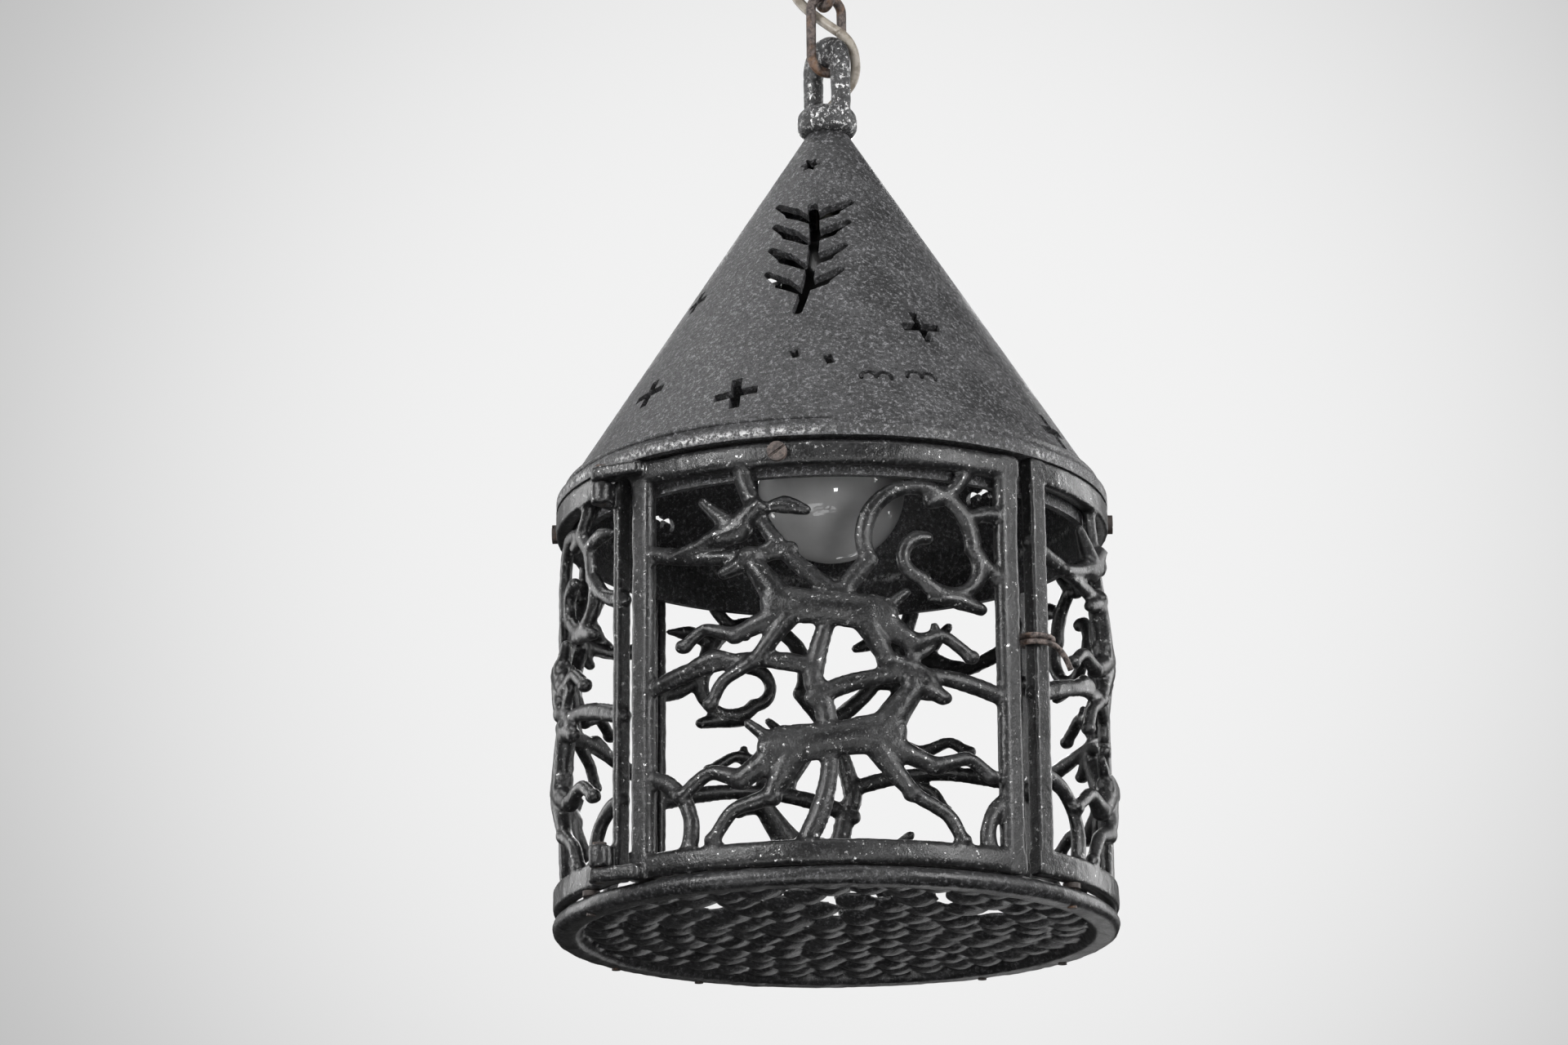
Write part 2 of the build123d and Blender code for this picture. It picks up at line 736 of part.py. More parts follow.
# Cast eye on its collar, bored for the cable and the threaded tube
eye_width = eye_hole_width + 2 * eye_leg
eye_top = eye_hole_top + eye_crown
eye_foot = collar_top - collar_round
crown_spring = eye_top - eye_width / 2
hole_spring = eye_hole_top - eye_hole_width / 2
with BuildPart() as top_eye:
    with BuildSketch(yaw_plane(eye_yaw, 0)):
        with BuildLine():
            Polyline(
                (-eye_width / 2, crown_spring),
                (-eye_width / 2, eye_foot),
                (eye_width / 2, eye_foot),
                (eye_width / 2, crown_spring),
            )
            ThreePointArc((-eye_width / 2, crown_spring), (0, eye_top), (eye_width / 2, crown_spring))
        make_face()
        with BuildLine():
            Polyline(
                (-eye_hole_width / 2, hole_spring),
                (-eye_hole_width / 2, eye_foot),
                (eye_hole_width / 2, eye_foot),
                (eye_hole_width / 2, hole_spring),
            )
            ThreePointArc(
                (-eye_hole_width / 2, hole_spring), (0, eye_hole_top), (eye_hole_width / 2, hole_spring)
            )
        make_face(mode=Mode.SUBTRACT)
    extrude(amount=eye_thickness / 2, both=True)
    flat_faces = top_eye.faces().filter_by(yaw_plane(eye_yaw, 0))
    fillet(flat_faces.edges().filter_by(lambda edge: edge.center().Z > eye_foot + seat_gap), eye_round)
    with BuildSketch(Plane.XZ) as collar_half:
        with Locations((collar_radius / 2, roof_top + collar_height / 2)):
            Rectangle(collar_radius, collar_height)
        fillet(collar_half.vertices().group_by(Axis.X)[-1], collar_round)
    revolve(axis=Axis.Z)
    with BuildSketch(Plane.XY.offset(roof_top)):
        Circle(tube_radius + running_clearance)
    extrude(amount=tube_in_collar, mode=Mode.SUBTRACT)
    with BuildSketch(Plane.XY.offset(roof_top)):
        Circle(cable_diameter / 2 + cable_bore_clearance)
    extrude(amount=collar_height, mode=Mode.SUBTRACT)
    bore_edges = top_eye.edges().filter_by(GeomType.CIRCLE).filter_by(
        lambda edge: abs(edge.radius - cable_diameter / 2 - cable_bore_clearance) < running_clearance
    )
    chamfer(bore_edges.group_by(Axis.Z)[-1], cable_mouth)
finish(top_eye.part, "top_eye")


# Chain links, each a closed ring of wire with two straight sides
for name, yaw, top in (
    ("chain_link_upper", upper_link_yaw, upper_link_top),
    ("chain_link_lower", lower_link_yaw, lower_link_top),
):
    bend = (link_width - link_wire) / 2
    side = link_pitch / 2 - bend
    with BuildPart() as chain_link:
        with BuildLine(yaw_plane(yaw, top - link_pitch / 2)):
            right_side = Line((bend, -side), (bend, side))
            top_bend = CenterArc((0, side), bend, 0, 180)
            left_side = Line((-bend, side), (-bend, -side))
            bottom_bend = CenterArc((0, -side), bend, 180, 180)
        for stretch in (right_side, top_bend, left_side, bottom_bend):
            add_wire(stretch, link_wire)
    finish(chain_link.part, name)

# Ceiling hook: shank in the plate, a half-round bend and a short tip
with BuildPart() as ceiling_hook:
    bend_plane = yaw_plane(lower_link_yaw, hook_wire_z + hook_bend_radius)
    with BuildLine(bend_plane):
        shank_line = Line((hook_bend_radius, hook_shank + hook_seat_depth), (hook_bend_radius, 0))
        bend_line = CenterArc((0, 0), hook_bend_radius, 0, -180)
        tip_line = Line((-hook_bend_radius, 0), (-hook_bend_radius, hook_tip))
    for stretch in (shank_line, bend_line, tip_line):
        add_wire(stretch, hook_wire)
finish(ceiling_hook.part, "ceiling_hook")

# Ceiling plate with its two screw holes, the hook's seat and the cable's way through
grommet_sleeve = cable_diameter / 2 + grommet_wall
grommet_place = (cable_points[0].X, cable_points[0].Y)
hook_place = Vector(cos(radians(lower_link_yaw)), sin(radians(lower_link_yaw))) * hook_bend_radius
with BuildPart() as ceiling_plate:
    with BuildSketch(Plane.XY.offset(plate_under)):
        Circle(plate_radius)
    extrude(amount=plate_thickness)
    fillet(ceiling_plate.edges().group_by(Axis.Z)[0], plate_edge_round)
    with BuildSketch(Plane.XY.offset(plate_under)):
        with Locations((-plate_screw_spacing / 2, 0), (plate_screw_spacing / 2, 0)):
            Circle(plate_screw_hole_radius)
        with Locations(grommet_place):
            Circle(grommet_sleeve + running_clearance)
    extrude(amount=plate_thickness, mode=Mode.SUBTRACT)
    with BuildSketch(Plane.XY.offset(plate_under)):
        with Locations((hook_place.X, hook_place.Y)):
            Circle(hook_wire / 2 + running_clearance)
    extrude(amount=hook_seat_depth, mode=Mode.SUBTRACT)
finish(ceiling_plate.part, "ceiling_plate")

# Grommet that leads the cable through the plate
with BuildPart() as cable_grommet:
    with BuildSketch(Plane.XY.offset(plate_under)):
        with Locations(grommet_place):
            Circle(grommet_sleeve)
    extrude(amount=plate_thickness)
    with BuildSketch(Plane.XY.offset(plate_under)):
        with Locations(grommet_place):
            Circle(grommet_sleeve + grommet_flange)
    extrude(amount=-grommet_flange)
    with BuildSketch(Plane.XY.offset(plate_under - grommet_flange)):
        with Locations(grommet_place):
            Circle(cable_diameter / 2 + running_clearance)
    extrude(amount=plate_thickness + grommet_flange, mode=Mode.SUBTRACT)
finish(cable_grommet.part, "cable_grommet")


def corner_radii(points):
    """Radius of each inner corner of a route, from a share of its shorter run and half the turn."""
    radii = []
    for before, corner, after in zip(points, points[1:], points[2:]):
        turn = (corner - before).get_angle(after - corner)
        shorter = min((corner - before).length, (after - corner).length)
        radii.append(cable_corner_share * shorter / tan(radians(turn / 2)))
    return radii


# Cable in three stretches that meet in the middle of a straight run
cable_radii = corner_radii(cable_points)
print("cable radii", [round(radius, 1) for radius in cable_radii])
cable_ends = [0, *cable_splits, len(cable_points) - 1]
for name, first, last in zip(("cable_upper", "cable_middle", "cable_lower"), cable_ends, cable_ends[1:]):
    route = cable_points[first + 1 : last + 1]
    start = cable_points[first] if first == 0 else (cable_points[first] + cable_points[first + 1]) / 2
    is_last = last == len(cable_points) - 1
    end = [] if is_last else [(cable_points[last] + cable_points[last + 1]) / 2]
    radii = cable_radii[first : last - 1] if is_last else cable_radii[first:last]
    with BuildPart() as cable:
        with BuildLine() as cable_line:
            FilletPolyline(start, *route, *end, radius=radii)
        add_wire(cable_line.wire(), cable_diameter)
    finish(cable.part, name)
    print(name, "length", round(cable_line.wire().length, 1), "volume", round(cable.part.volume, 1))

# Heights of the lampholder over the bulb
bulb_top = bulb_bottom + bulb_length
core_under = bulb_top
holder_top = core_under + core_height
holder_under = holder_top - holder_height
cap_top = holder_top + holder_cap_height
cap_side_top = holder_top + holder_cap_side
tube_top = roof_top + tube_in_collar
tube_under = cap_top - tube_in_cap
bulb_cap_top = bulb_top - bulb_contact_height
bulb_cap_under = bulb_cap_top - bulb_cap_length

# Threaded tube from the collar to the lampholder
with BuildPart() as threaded_tube:
    with BuildSketch(Plane.XY.offset(tube_under)):
        Circle(tube_radius)
        Circle(tube_bore, mode=Mode.SUBTRACT)
    extrude(amount=tube_top - tube_under)
finish(threaded_tube.part, "threaded_tube")

# Nut that clamps the roof against the collar
with BuildPart() as roof_nut:
    with BuildSketch(Plane.XY.offset(boss_under - nut_height)):
        RegularPolygon(nut_across_flats / 2, 6, major_radius=False)
        Circle(tube_radius + running_clearance, mode=Mode.SUBTRACT)
    extrude(amount=nut_height)
finish(roof_nut.part, "roof_nut")

# Wires inside the tube, from the end of the outer cable to the lampholder
with BuildPart() as cable_core:
    with BuildSketch(Plane.XY.offset(holder_top)):
        Circle(cable_diameter / 2)
    extrude(amount=cable_points[-1].Z - holder_top)
finish(cable_core.part, "cable_core")

# Cap of the lampholder, a hollow bell on the tube
with BuildPart() as lampholder_cap:
    with BuildSketch(Plane.XZ):
        with BuildLine():
            Polyline((0, holder_top), (holder_cap_radius, holder_top), (holder_cap_radius, cap_side_top))
            TangentArc((holder_cap_radius, cap_side_top), (holder_cap_neck, tube_under), tangent=(0, 1))
            Polyline(
                (holder_cap_neck, tube_under), (holder_cap_neck, cap_top), (0, cap_top), (0, holder_top)
            )
        make_face()
    revolve(axis=Axis.Z)
    with BuildSketch(Plane.XY.offset(holder_top)):
        Circle(holder_cap_radius - holder_wall)
    extrude(amount=holder_cap_side, mode=Mode.SUBTRACT)
    with BuildSketch(Plane.XY.offset(tube_under)):
        Circle(tube_radius + running_clearance)
    extrude(amount=tube_in_cap, mode=Mode.SUBTRACT)
    with BuildSketch(Plane.XY.offset(holder_top)):
        Circle(cable_diameter / 2 + cable_bore_clearance)
    extrude(amount=holder_cap_height, mode=Mode.SUBTRACT)
finish(lampholder_cap.part, "lampholder_cap")

# Skirt of the lampholder
with BuildPart() as lampholder_body:
    with BuildSketch(Plane.XY.offset(holder_under)):
        Circle(holder_radius)
        Circle(holder_radius - holder_wall, mode=Mode.SUBTRACT)
    extrude(amount=holder_height)
finish(lampholder_body.part, "lampholder_body")

# Ceramic core of the lampholder
with BuildPart() as lampholder_core:
    with BuildSketch(Plane.XY.offset(core_under)):
        Circle(holder_radius - holder_wall - running_clearance)
    extrude(amount=core_height)
finish(lampholder_core.part, "lampholder_core")

# Threaded sleeve that takes the bulb's cap
with BuildPart() as lampholder_sleeve:
    with BuildSketch(Plane.XY.offset(core_under - sleeve_length)):
        Circle(bulb_cap_radius + running_clearance + bulb_cap_wall)
        Circle(bulb_cap_radius + running_clearance, mode=Mode.SUBTRACT)
    extrude(amount=sleeve_length)
finish(lampholder_sleeve.part, "lampholder_sleeve")


def add_bulb_body(radius, neck, low, mode):
    """Round bulb that draws in to a straight neck inside the cap."""
    shoulder = radians(bulb_shoulder)
    neck_top = bulb_cap_under + bulb_neck_length
    middle = bulb_bottom + bulb_radius
    turn = (radius * cos(shoulder), middle + radius * sin(shoulder))
    with BuildSketch(Plane.XZ) as profile:
        with BuildLine():
            ThreePointArc((0, low), (radius, middle), turn)
            TangentArc(turn, (neck, bulb_cap_under), tangent=(-sin(shoulder), cos(shoulder)))
            Polyline((neck, bulb_cap_under), (neck, neck_top), (0, neck_top), (0, low))
        make_face()
    revolve(profile.sketch, axis=Axis.Z, mode=mode)


# Frosted glass of the bulb, open at its neck
with BuildPart() as bulb_glass:
    for inset, mode in ((0, Mode.ADD), (bulb_glass_wall, Mode.SUBTRACT)):
        add_bulb_body(bulb_radius - inset, bulb_neck_radius - inset, bulb_bottom + inset, mode)
finish(bulb_glass.part, "bulb_glass")

# Screw cap of the bulb
with BuildPart() as bulb_cap:
    with BuildSketch(Plane.XY.offset(bulb_cap_under)):
        Circle(bulb_cap_radius)
    extrude(amount=bulb_cap_length)
    with BuildSketch(Plane.XY.offset(bulb_cap_under)):
        Circle(bulb_cap_radius - bulb_cap_wall)
    extrude(amount=bulb_cap_length - bulb_cap_wall, mode=Mode.SUBTRACT)
finish(bulb_cap.part, "bulb_cap")

# End contact of the bulb
with BuildPart() as bulb_contact:
    with BuildSketch(Plane.XY.offset(bulb_cap_top)):
        Circle(bulb_contact_radius)
    extrude(amount=bulb_contact_height, taper=bulb_contact_taper)
finish(bulb_contact.part, "bulb_contact")
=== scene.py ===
"""Hanging cast-iron lantern, dressed: sculpted openwork panels, grained roof, chain, cable and bulb."""
import json
import math

import bmesh
import bpy
import numpy as np
from bpy.props import FloatProperty, FloatVectorProperty, PointerProperty
from mathutils import Matrix, Vector


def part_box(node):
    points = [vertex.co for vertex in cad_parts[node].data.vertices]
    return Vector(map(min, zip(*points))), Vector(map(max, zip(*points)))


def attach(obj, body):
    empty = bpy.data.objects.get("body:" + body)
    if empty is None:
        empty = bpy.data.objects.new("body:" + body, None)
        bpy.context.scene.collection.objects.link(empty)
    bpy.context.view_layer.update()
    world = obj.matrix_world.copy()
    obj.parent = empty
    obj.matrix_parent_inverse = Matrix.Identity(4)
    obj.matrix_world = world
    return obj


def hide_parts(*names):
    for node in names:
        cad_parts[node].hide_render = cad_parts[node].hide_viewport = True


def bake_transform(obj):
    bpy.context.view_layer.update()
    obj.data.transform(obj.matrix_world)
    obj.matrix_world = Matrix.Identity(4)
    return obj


bl_info = {
    "name": "Cast-iron Lantern",
    "version": (1, 0, 0),
    "blender": (4, 5, 0),
    "location": "3D View > Sidebar > Lantern",
    "description": "Dresses the lantern's solids with cast, rusted and frosted surfaces",
    "category": "Object",
}

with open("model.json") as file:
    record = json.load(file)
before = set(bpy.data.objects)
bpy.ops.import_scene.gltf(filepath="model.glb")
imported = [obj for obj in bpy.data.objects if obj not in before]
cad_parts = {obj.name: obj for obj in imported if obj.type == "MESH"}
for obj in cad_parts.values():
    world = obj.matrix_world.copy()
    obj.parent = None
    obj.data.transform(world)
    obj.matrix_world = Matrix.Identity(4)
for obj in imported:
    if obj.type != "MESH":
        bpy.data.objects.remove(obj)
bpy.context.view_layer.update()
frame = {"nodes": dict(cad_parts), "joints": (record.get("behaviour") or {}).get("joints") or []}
MM = 0.001

# The drum in millimetres and degrees, with the measures of the solids
DRUM_RADIUS = 112.0
DRUM_WALL = 6.6
DRUM_MIDDLE = DRUM_RADIUS - DRUM_WALL / 2
FIXED_RAIL = 10.0
FIXED_STILE = 4.0
LATCH_STILE = 8.0
DOOR_RAIL = 9.6
DOOR_STILE = 10.0
HINGE_ANGLE = -48.5
HINGE_RADIUS = 117.6
HINGE_BOSS = 4.3
LUG_HEIGHT = 5.6
LUG_ROOT = (-40.5, 114.2, 2.6)
KNUCKLE_HEIGHT = 9.0
KNUCKLE_ROOT = (-50.0, DRUM_MIDDLE, 2.6)
SEAT_GAP = 0.4
DOOR_SPAN = (-43.5, 41.6)
# Roundings of the rails and of the stiles
FIXED_ROUND = (1.6, 1.1)
DOOR_ROUND = (2.6, 2.8)
SEAM = math.degrees(0.25 / DRUM_RADIUS)
PANEL_SPANS = {
    "left_panel": (-135.0 + SEAM, -46.6),
    "back_panel": (135.0 + SEAM, 225.0 - SEAM),
    "right_panel": (45.0, 135.0 - SEAM),
}

# Figures of the openwork: x and y along each stroke over the sill and the half width there
DEER_STROKES = [
    [(-24, 0, 9), (-4, 2, 7.5), (16, 5, 9)],
    [(17, 8, 7), (28, 24, 4.6)],
    [(28, 26, 4.8), (41, 21, 2.8)],
    [(25, 29, 2.2), (16, 35, 1.7)],
    [(17, 0, 5.5), (36, -8, 3.4), (50, -3, 2.8), (59, -10, 2.8)],
    [(13, -2, 5), (27, -20, 3.2), (42, -28, 2.8), (47, -38, 2.8)],
    [(-26, -2, 7), (-42, -13, 4), (-55, -8, 3), (-67, -17, 2.8)],
    [(-22, -4, 6.5), (-30, -21, 3.8), (-46, -25, 3), (-54, -37, 2.8)],
    [(-32, 4, 3), (-39, 10, 2.2)],
]
ANTLER_STROKES = [
    [(29, 30, 2.3), (27, 41, 2.1), (18, 50, 1.8)],
    [(28, 36, 2.1), (36, 42, 1.9), (37, 51, 1.8)],
]
BIRD_STROKES = [
    [(-8, -4, 3.4), (4, 0, 6.2)],
    [(4, 1, 5.4), (12, 8, 4.2)],
    [(12, 8, 3), (18, 7, 1.4)],
    [(-6, -4, 3.2), (-22, -8, 2.4)],
    [(0, 3, 4), (-10, 13, 2)],
]
LEAF_STROKE = [(0, 0, 2.4), (9, 3, 4.4), (19, 2, 1.4)]
# Places of the figures: x, y over the sill, facing and size
STAG_PLACE = (6, 36, 1, 0.92)
HIND_PLACE = (-4, 87, -1, 0.86)
BIRD_PLACE = (-38, 122, 1, 0.95)
LEAF_PLACES = [(58, 92, -1, 1.0), (-52, 70, 1, 0.9), (54, 128, 1, 0.9), (-8, 128, -1, 0.9)]
# Swellings on a deer: x, y and half width of the haunch, shoulder, brow, knees and hocks
DEER_SWELLS = [
    (-25, -1, 9.6), (14, 3, 9.0), (29, 27, 5.2), (36, -8, 3.9), (27, -20, 3.8), (-42, -13, 4.5), (-30, -21, 4.3),
    (59, -10, 3.3), (47, -38, 3.3), (-67, -17, 3.3), (-54, -37, 3.3),
]
DEER_EYE = (31.5, 27.2, 1.5)
BIRD_EYE = (13.2, 9.2, 1.1)
# How far each kind of stroke stands out of the wall's middle
BRANCH_LIFT, LEAF_LIFT, FIGURE_LIFT, SWELL_LIFT, EYE_LIFT = -0.7, -0.2, 0.7, 0.9, 4.0
# The base: width and rounding of its band, how far the band is drawn in across and below to leave room for the
# lumps of the casting, and width, height and rounding of the low lip inside it
BASE_BAND = 12.6
BASE_ROUND = 3.4
BAND_INSET = (0.6, 0.5)
BASE_LIP = (2.6, 5.0, 1.1)
BASE_STEPS = 180
# The grille: rows of scales, their level over the base's underside, how far a scale overlaps its neighbours, the
# turn from row to row, the depth of a scale's dome and the thickness of its rim
GRILLE_ROWS = 7
SCALE_LEVEL = 5.8
SCALE_OVERLAP = 1.26
ROW_TWIST = 17.0
SCALE_DOME = 3.4
SCALE_RIM = 0.8
# Row and bearing of each scale that is left open
OPEN_SCALES = (
    (4, -133), (4, -112), (5, -95), (4, -88), (4, -70), (4, -50),
    (3, -100), (2, -75), (5, -60), (1, -95), (4, -20),
)
# Branches: start, middle and end of each arc over the sill, and its width
BRANCH_ARCS = [
    ((-12, -5), (0, 26), (-6, 62), 8.0),
    ((-6, 60), (0, 84), (16, 108), 7.4),
    ((16, 108), (36, 138), (56, 116), 6.8),
    ((56, 116), (52, 98), (36, 102), 6.2),
    ((36, 102), (29, 111), (38, 118), 5.6),
    ((6, 94), (-16, 112), (-34, 150), 6.8),
    ((-14, 113), (-44, 112), (-80, 124), 6.2),
    ((-5, 66), (-44, 70), (-80, 58), 6.8),
    ((-6, 54), (34, 64), (80, 52), 6.8),
    ((56, 116), (68, 104), (80, 100), 6.2),
    ((40, 133), (50, 140), (54, 150), 6.2),
    ((-80, 30), (-62, 26), (-56, -5), 6.2),
    ((80, 22), (66, 18), (62, -5), 6.2),
]

# Cable route from the ceiling plate to the collar, in metres
CABLE_ROUTE = [
    (-0.0150, 0.0130, -0.00100),
    (-0.0150, 0.0130, -0.01800),
    (-0.0155, 0.0110, -0.03760),
    (-0.0125, 0.0075, -0.04980),
    (-0.0006, -0.0008, -0.06340),
    (0.0108, -0.0036, -0.07270),
    (0.0129, 0.0016, -0.08620),
    (0.0062, 0.0044, -0.09505),
    (0.0000, 0.0000, -0.10205),
    (0.0000, 0.0000, -0.10905),
]
CABLE_SPLITS = ((2, 3), (4, 5))
CABLE_BODIES = [("ceiling", "link_upper"), ("link_upper", "link_lower"), ("link_lower", "lantern")]
CABLE_NAMES = ["cable_upper", "cable_middle", "cable_lower"]

# Chain links: node, body and bearing; the radius of their bends, in metres
LINKS = (("chain_link_upper", "link_upper", 115.0), ("chain_link_lower", "link_lower", 25.0))
LINK_BEND = 0.0070

# Latch in metres: radius, first and last angle and half rise of its ring, then the knee and the tip of its tail
LATCH_RING = 0.00626
LATCH_TURNS = (70, 630)
LATCH_RISE = 0.0019
LATCH_KNEE = 0.0080
LATCH_TIP = (0.0125, 0.0085)
LATCH_SLIMNESS = 0.96

# Bulb in metres, and the angle where its globe runs out into the neck
BULB_RADIUS = 0.030
BULB_NECK = 0.0123
BULB_SHOULDER = math.radians(35)

# Castings: rounds of smoothing, and seed of the unevenness
CASTINGS = {
    "left_panel": (3, 0), "back_panel": (3, 10), "right_panel": (3, 20),
    "door": (3, 51), "base": (1, 71), "eye": (4, 81),
}
# Cells of the castings' slow and fine unevenness, in metres, and their shares
SLOW_LUMPS, SLOW_SHARE = 0.0075, 0.6
FINE_LUMPS, FINE_SHARE = 0.0026, 0.4

# Finishes of the black castings, as black_iron takes them; the tone sets each casting's paint lighter or darker to
# stand in for how lit it is, as lit and shaded copies of one black paint (painted light and shade)
OPENWORK_FINISH = {
    "grain": 0.9, "relief": 0.42, "edge": 0.55, "spread": 0.05, "cover": 0.39,
    "rough": (0.31, 0.44), "tone": 0.42, "crest_highlight_gain": 3.2,
}
BLACK_FINISHES = {
    "panel_iron": OPENWORK_FINISH,
    "door_iron": OPENWORK_FINISH,
    "roof_iron": {
        "grain": 0.95, "relief": 1.0, "edge": 0.58, "cover": 0.325,
        "rough": (0.42, 0.60), "tone": 1.65, "crest_highlight_gain": 4.4, "eave": 0.2785,
    },
    "base_iron": {"grain": 0.9, "relief": 0.4, "edge": 0.60, "cover": 0.33, "rough": (0.30, 0.44), "tone": 0.8},
    "eye_iron": {
        "grain": 1.3, "relief": 0.6, "edge": 0.50, "spread": 0.06, "cover": 0.455,
        "rough": (0.36, 0.52), "tone": 0.75,
    },
}
# Wear along the eave: its strength at the eave itself and how fast it falls off, per metre
EAVE_WEAR = 0.648
EAVE_FALL = 26.0

# Kinds of socket of the shader groups
FLOAT, VECTOR, COLOUR = "NodeSocketFloat", "NodeSocketVector", "NodeSocketColor"

# Colours of the hidden fittings
PLATED = (0.55, 0.53, 0.48)
MOULDED = (0.022, 0.022, 0.022)
GLAZED = (0.78, 0.76, 0.70)
BRASS = (0.62, 0.45, 0.20)
RUBBER = (0.03, 0.03, 0.03)

# Camera: bearing, yaw, pitch and roll in degrees; distance and height in metres; lens and sensor in millimetres
CAMERA_ANGLES = (1.0, -0.682, 16.47, -0.428)
CAMERA_DISTANCE = 1.6307
CAMERA_HEIGHT = -0.76471
CAMERA_LENS = 95.87
SENSOR_WIDTH = 36.0

# Lamps: name, place, size and power; they point at a height over the base
LAMP_AIM = 0.15
LAMPS = (
    ("key_left", (-1.15, -1.25, 0.30), (0.45, 0.6), 24),
    ("window", (0.26, -1.80, -0.74), (0.18, 0.24), 6),
    ("low_front", (-0.30, -1.00, -1.30), (1.2, 0.5), 6.5),
    ("low_back", (0.25, 1.25, -0.95), (0.5, 0.25), 0.8),
    ("fill_right", (1.15, -1.10, 0.05), (0.35, 0.8), 18),
    ("top_soft", (0.0, -0.5, 0.95), (1.0, 0.8), 4),
    ("top_left", (-0.65, 0.55, 0.90), (0.2, 0.5), 3),
    ("rim_right", (1.1, 0.7, -0.1), (0.4, 1.0), 9),
    ("back_soft", (0.0, 1.7, 0.45), (0.9, 0.7), 16),
    ("rim_left", (-1.1, 0.6, -0.1), (0.4, 1.0), 7),
    ("side_right", (1.20, -0.33, 0.08), (0.15, 0.7), 3),
    ("side_left", (-1.20, -0.33, 0.08), (0.15, 0.7), 1.5),
)
# Backdrop: cosines from its middle between which it brightens and, further out, turns pale again
BACKDROP_GLOW = (0.965, 0.9995)
BACKDROP_ASIDE = (0.95, 0.88)
ASIDE_SHARE = 0.9
BACKDROP_SHIFT = 0.02
# Light of the surroundings: strength from below, what is added from above, and the slopes between
LIGHT_BELOW = 0.03
LIGHT_ABOVE = 0.055
LIGHT_SLOPES = (-0.35, 0.35)
# Floor in metres: depth under the base, half width and points along a side
FLOOR_DEPTH = 1.1
FLOOR_REACH = 3
FLOOR_POINTS = 13
FLOOR_COLOUR = (0.72, 0.72, 0.72)
FLOOR_GLOW = (0.62, 0.62, 0.62)


def length_setting(name, description, default):
    """A length that a user may set, in metres."""
    return FloatProperty(name=name, description=description, default=default, unit="LENGTH")


def colour_setting(name, description, default):
    """A colour that a user may set."""
    return FloatVectorProperty(name=name, description=description, default=default, subtype="COLOR")


class LanternSizes(bpy.types.PropertyGroup):
    """Sizes that a user would change"""

    panel_cell: length_setting("Panel cell", "Edge of the cells that the panels are cast in", 0.00085)
    base_cell: length_setting("Base cell", "Edge of the cells that the base is cast in", 0.00109)
    eye_cell: length_setting("Eye cell", "Edge of the cells that the eye is cast in", 0.00045)
    lump_height: length_setting("Lump height", "Height of the slow unevenness of the castings", 0.00032)
    rod_depth: length_setting("Rod depth", "Half depth of the branches across the drum's wall", 0.0027)
    figure_depth: length_setting("Figure depth", "Most half depth of the animals across the drum's wall", 0.0042)
    cable_diameter: length_setting("Cable diameter", "Outside of the cable's sheath", 0.0042)
    link_wire: length_setting("Link wire", "Diameter of the chain's wire", 0.0041)
    latch_wire: length_setting("Latch wire", "Diameter of the latch's wire", 0.0024)


class LanternColours(bpy.types.PropertyGroup):
    """Colours that a user would change"""

    paint: colour_setting("Paint", "Black paint of the castings", (0.025, 0.025, 0.026))
    bare: colour_setting("Bare iron", "Iron where the paint is worn off", (0.62, 0.62, 0.62))
    rust: colour_setting("Rust", "Rust-brown film", (0.125, 0.100, 0.090))
    rust_dark: colour_setting("Dark rust", "Old rust in the hollows", (0.040, 0.033, 0.031))
    rust_stain: colour_setting("Rust stain", "Fresh orange rust", (0.215, 0.105, 0.045))
    sheath: colour_setting("Cable sheath", "Cream sheath of the cable", (0.30, 0.27, 0.23))
    frost: colour_setting("Frosted glass", "Unlit frosted bulb", (0.52, 0.52, 0.52))
    backdrop: colour_setting("Backdrop", "Pale background behind the lantern", (0.89, 0.89, 0.89))
    backdrop_edge: colour_setting("Backdrop edge", "Background away from the lantern", (0.50, 0.50, 0.50))


def sizes():
    """The sizes of the open scene."""
    return bpy.context.scene.lantern_sizes


def colours():
    """The colours of the open scene."""
    return bpy.context.scene.lantern_colours


def unit(v):
    """Vectors of length 1 in the same directions."""
    return v / np.linalg.norm(v, axis=-1, keepdims=True)


def full_turn(steps):
    """Angles of a whole turn, in even steps."""
    return np.linspace(0, 2 * np.pi, steps, endpoint=False)


def skin(rings, closed=False):
    """Points, quads and caps of rings of points, (rings, points round, 3): each ring joins the next, the last joins
    the first if closed, and open ends get a flat cap."""
    count, around = rings.shape[:2]
    index = np.arange(count * around).reshape(count, around)
    rows = index if closed else index[:-1]
    after = np.roll(index, -1, axis=0) if closed else index[1:]
    quads = np.stack([rows, np.roll(rows, -1, axis=1), np.roll(after, -1, axis=1), after], axis=-1).reshape(-1, 4)
    caps = [] if closed else [index[0][::-1], index[-1]]
    return rings.reshape(-1, 3), quads, caps


def metres(parts):
    """Shapes in millimetres, each points, quads and caps, as one shape in metres."""
    starts = np.cumsum([0] + [len(points) for points, _, _ in parts])
    points = np.concatenate([points for points, _, _ in parts])
    quads = np.concatenate([quads + start for (_, quads, _), start in zip(parts, starts)])
    caps = [cap + start for (_, _, caps), start in zip(parts, starts) for cap in caps]
    return points * MM, quads, caps


def merged(mesh, weld, outwards=False):
    """A mesh with its doubled points merged, and its faces turned outwards if asked."""
    edit = bmesh.new()
    edit.from_mesh(mesh)
    bmesh.ops.remove_doubles(edit, verts=edit.verts, dist=weld)
    if outwards:
        bmesh.ops.recalc_face_normals(edit, faces=edit.faces)
    edit.to_mesh(mesh)
    edit.free()
    return mesh


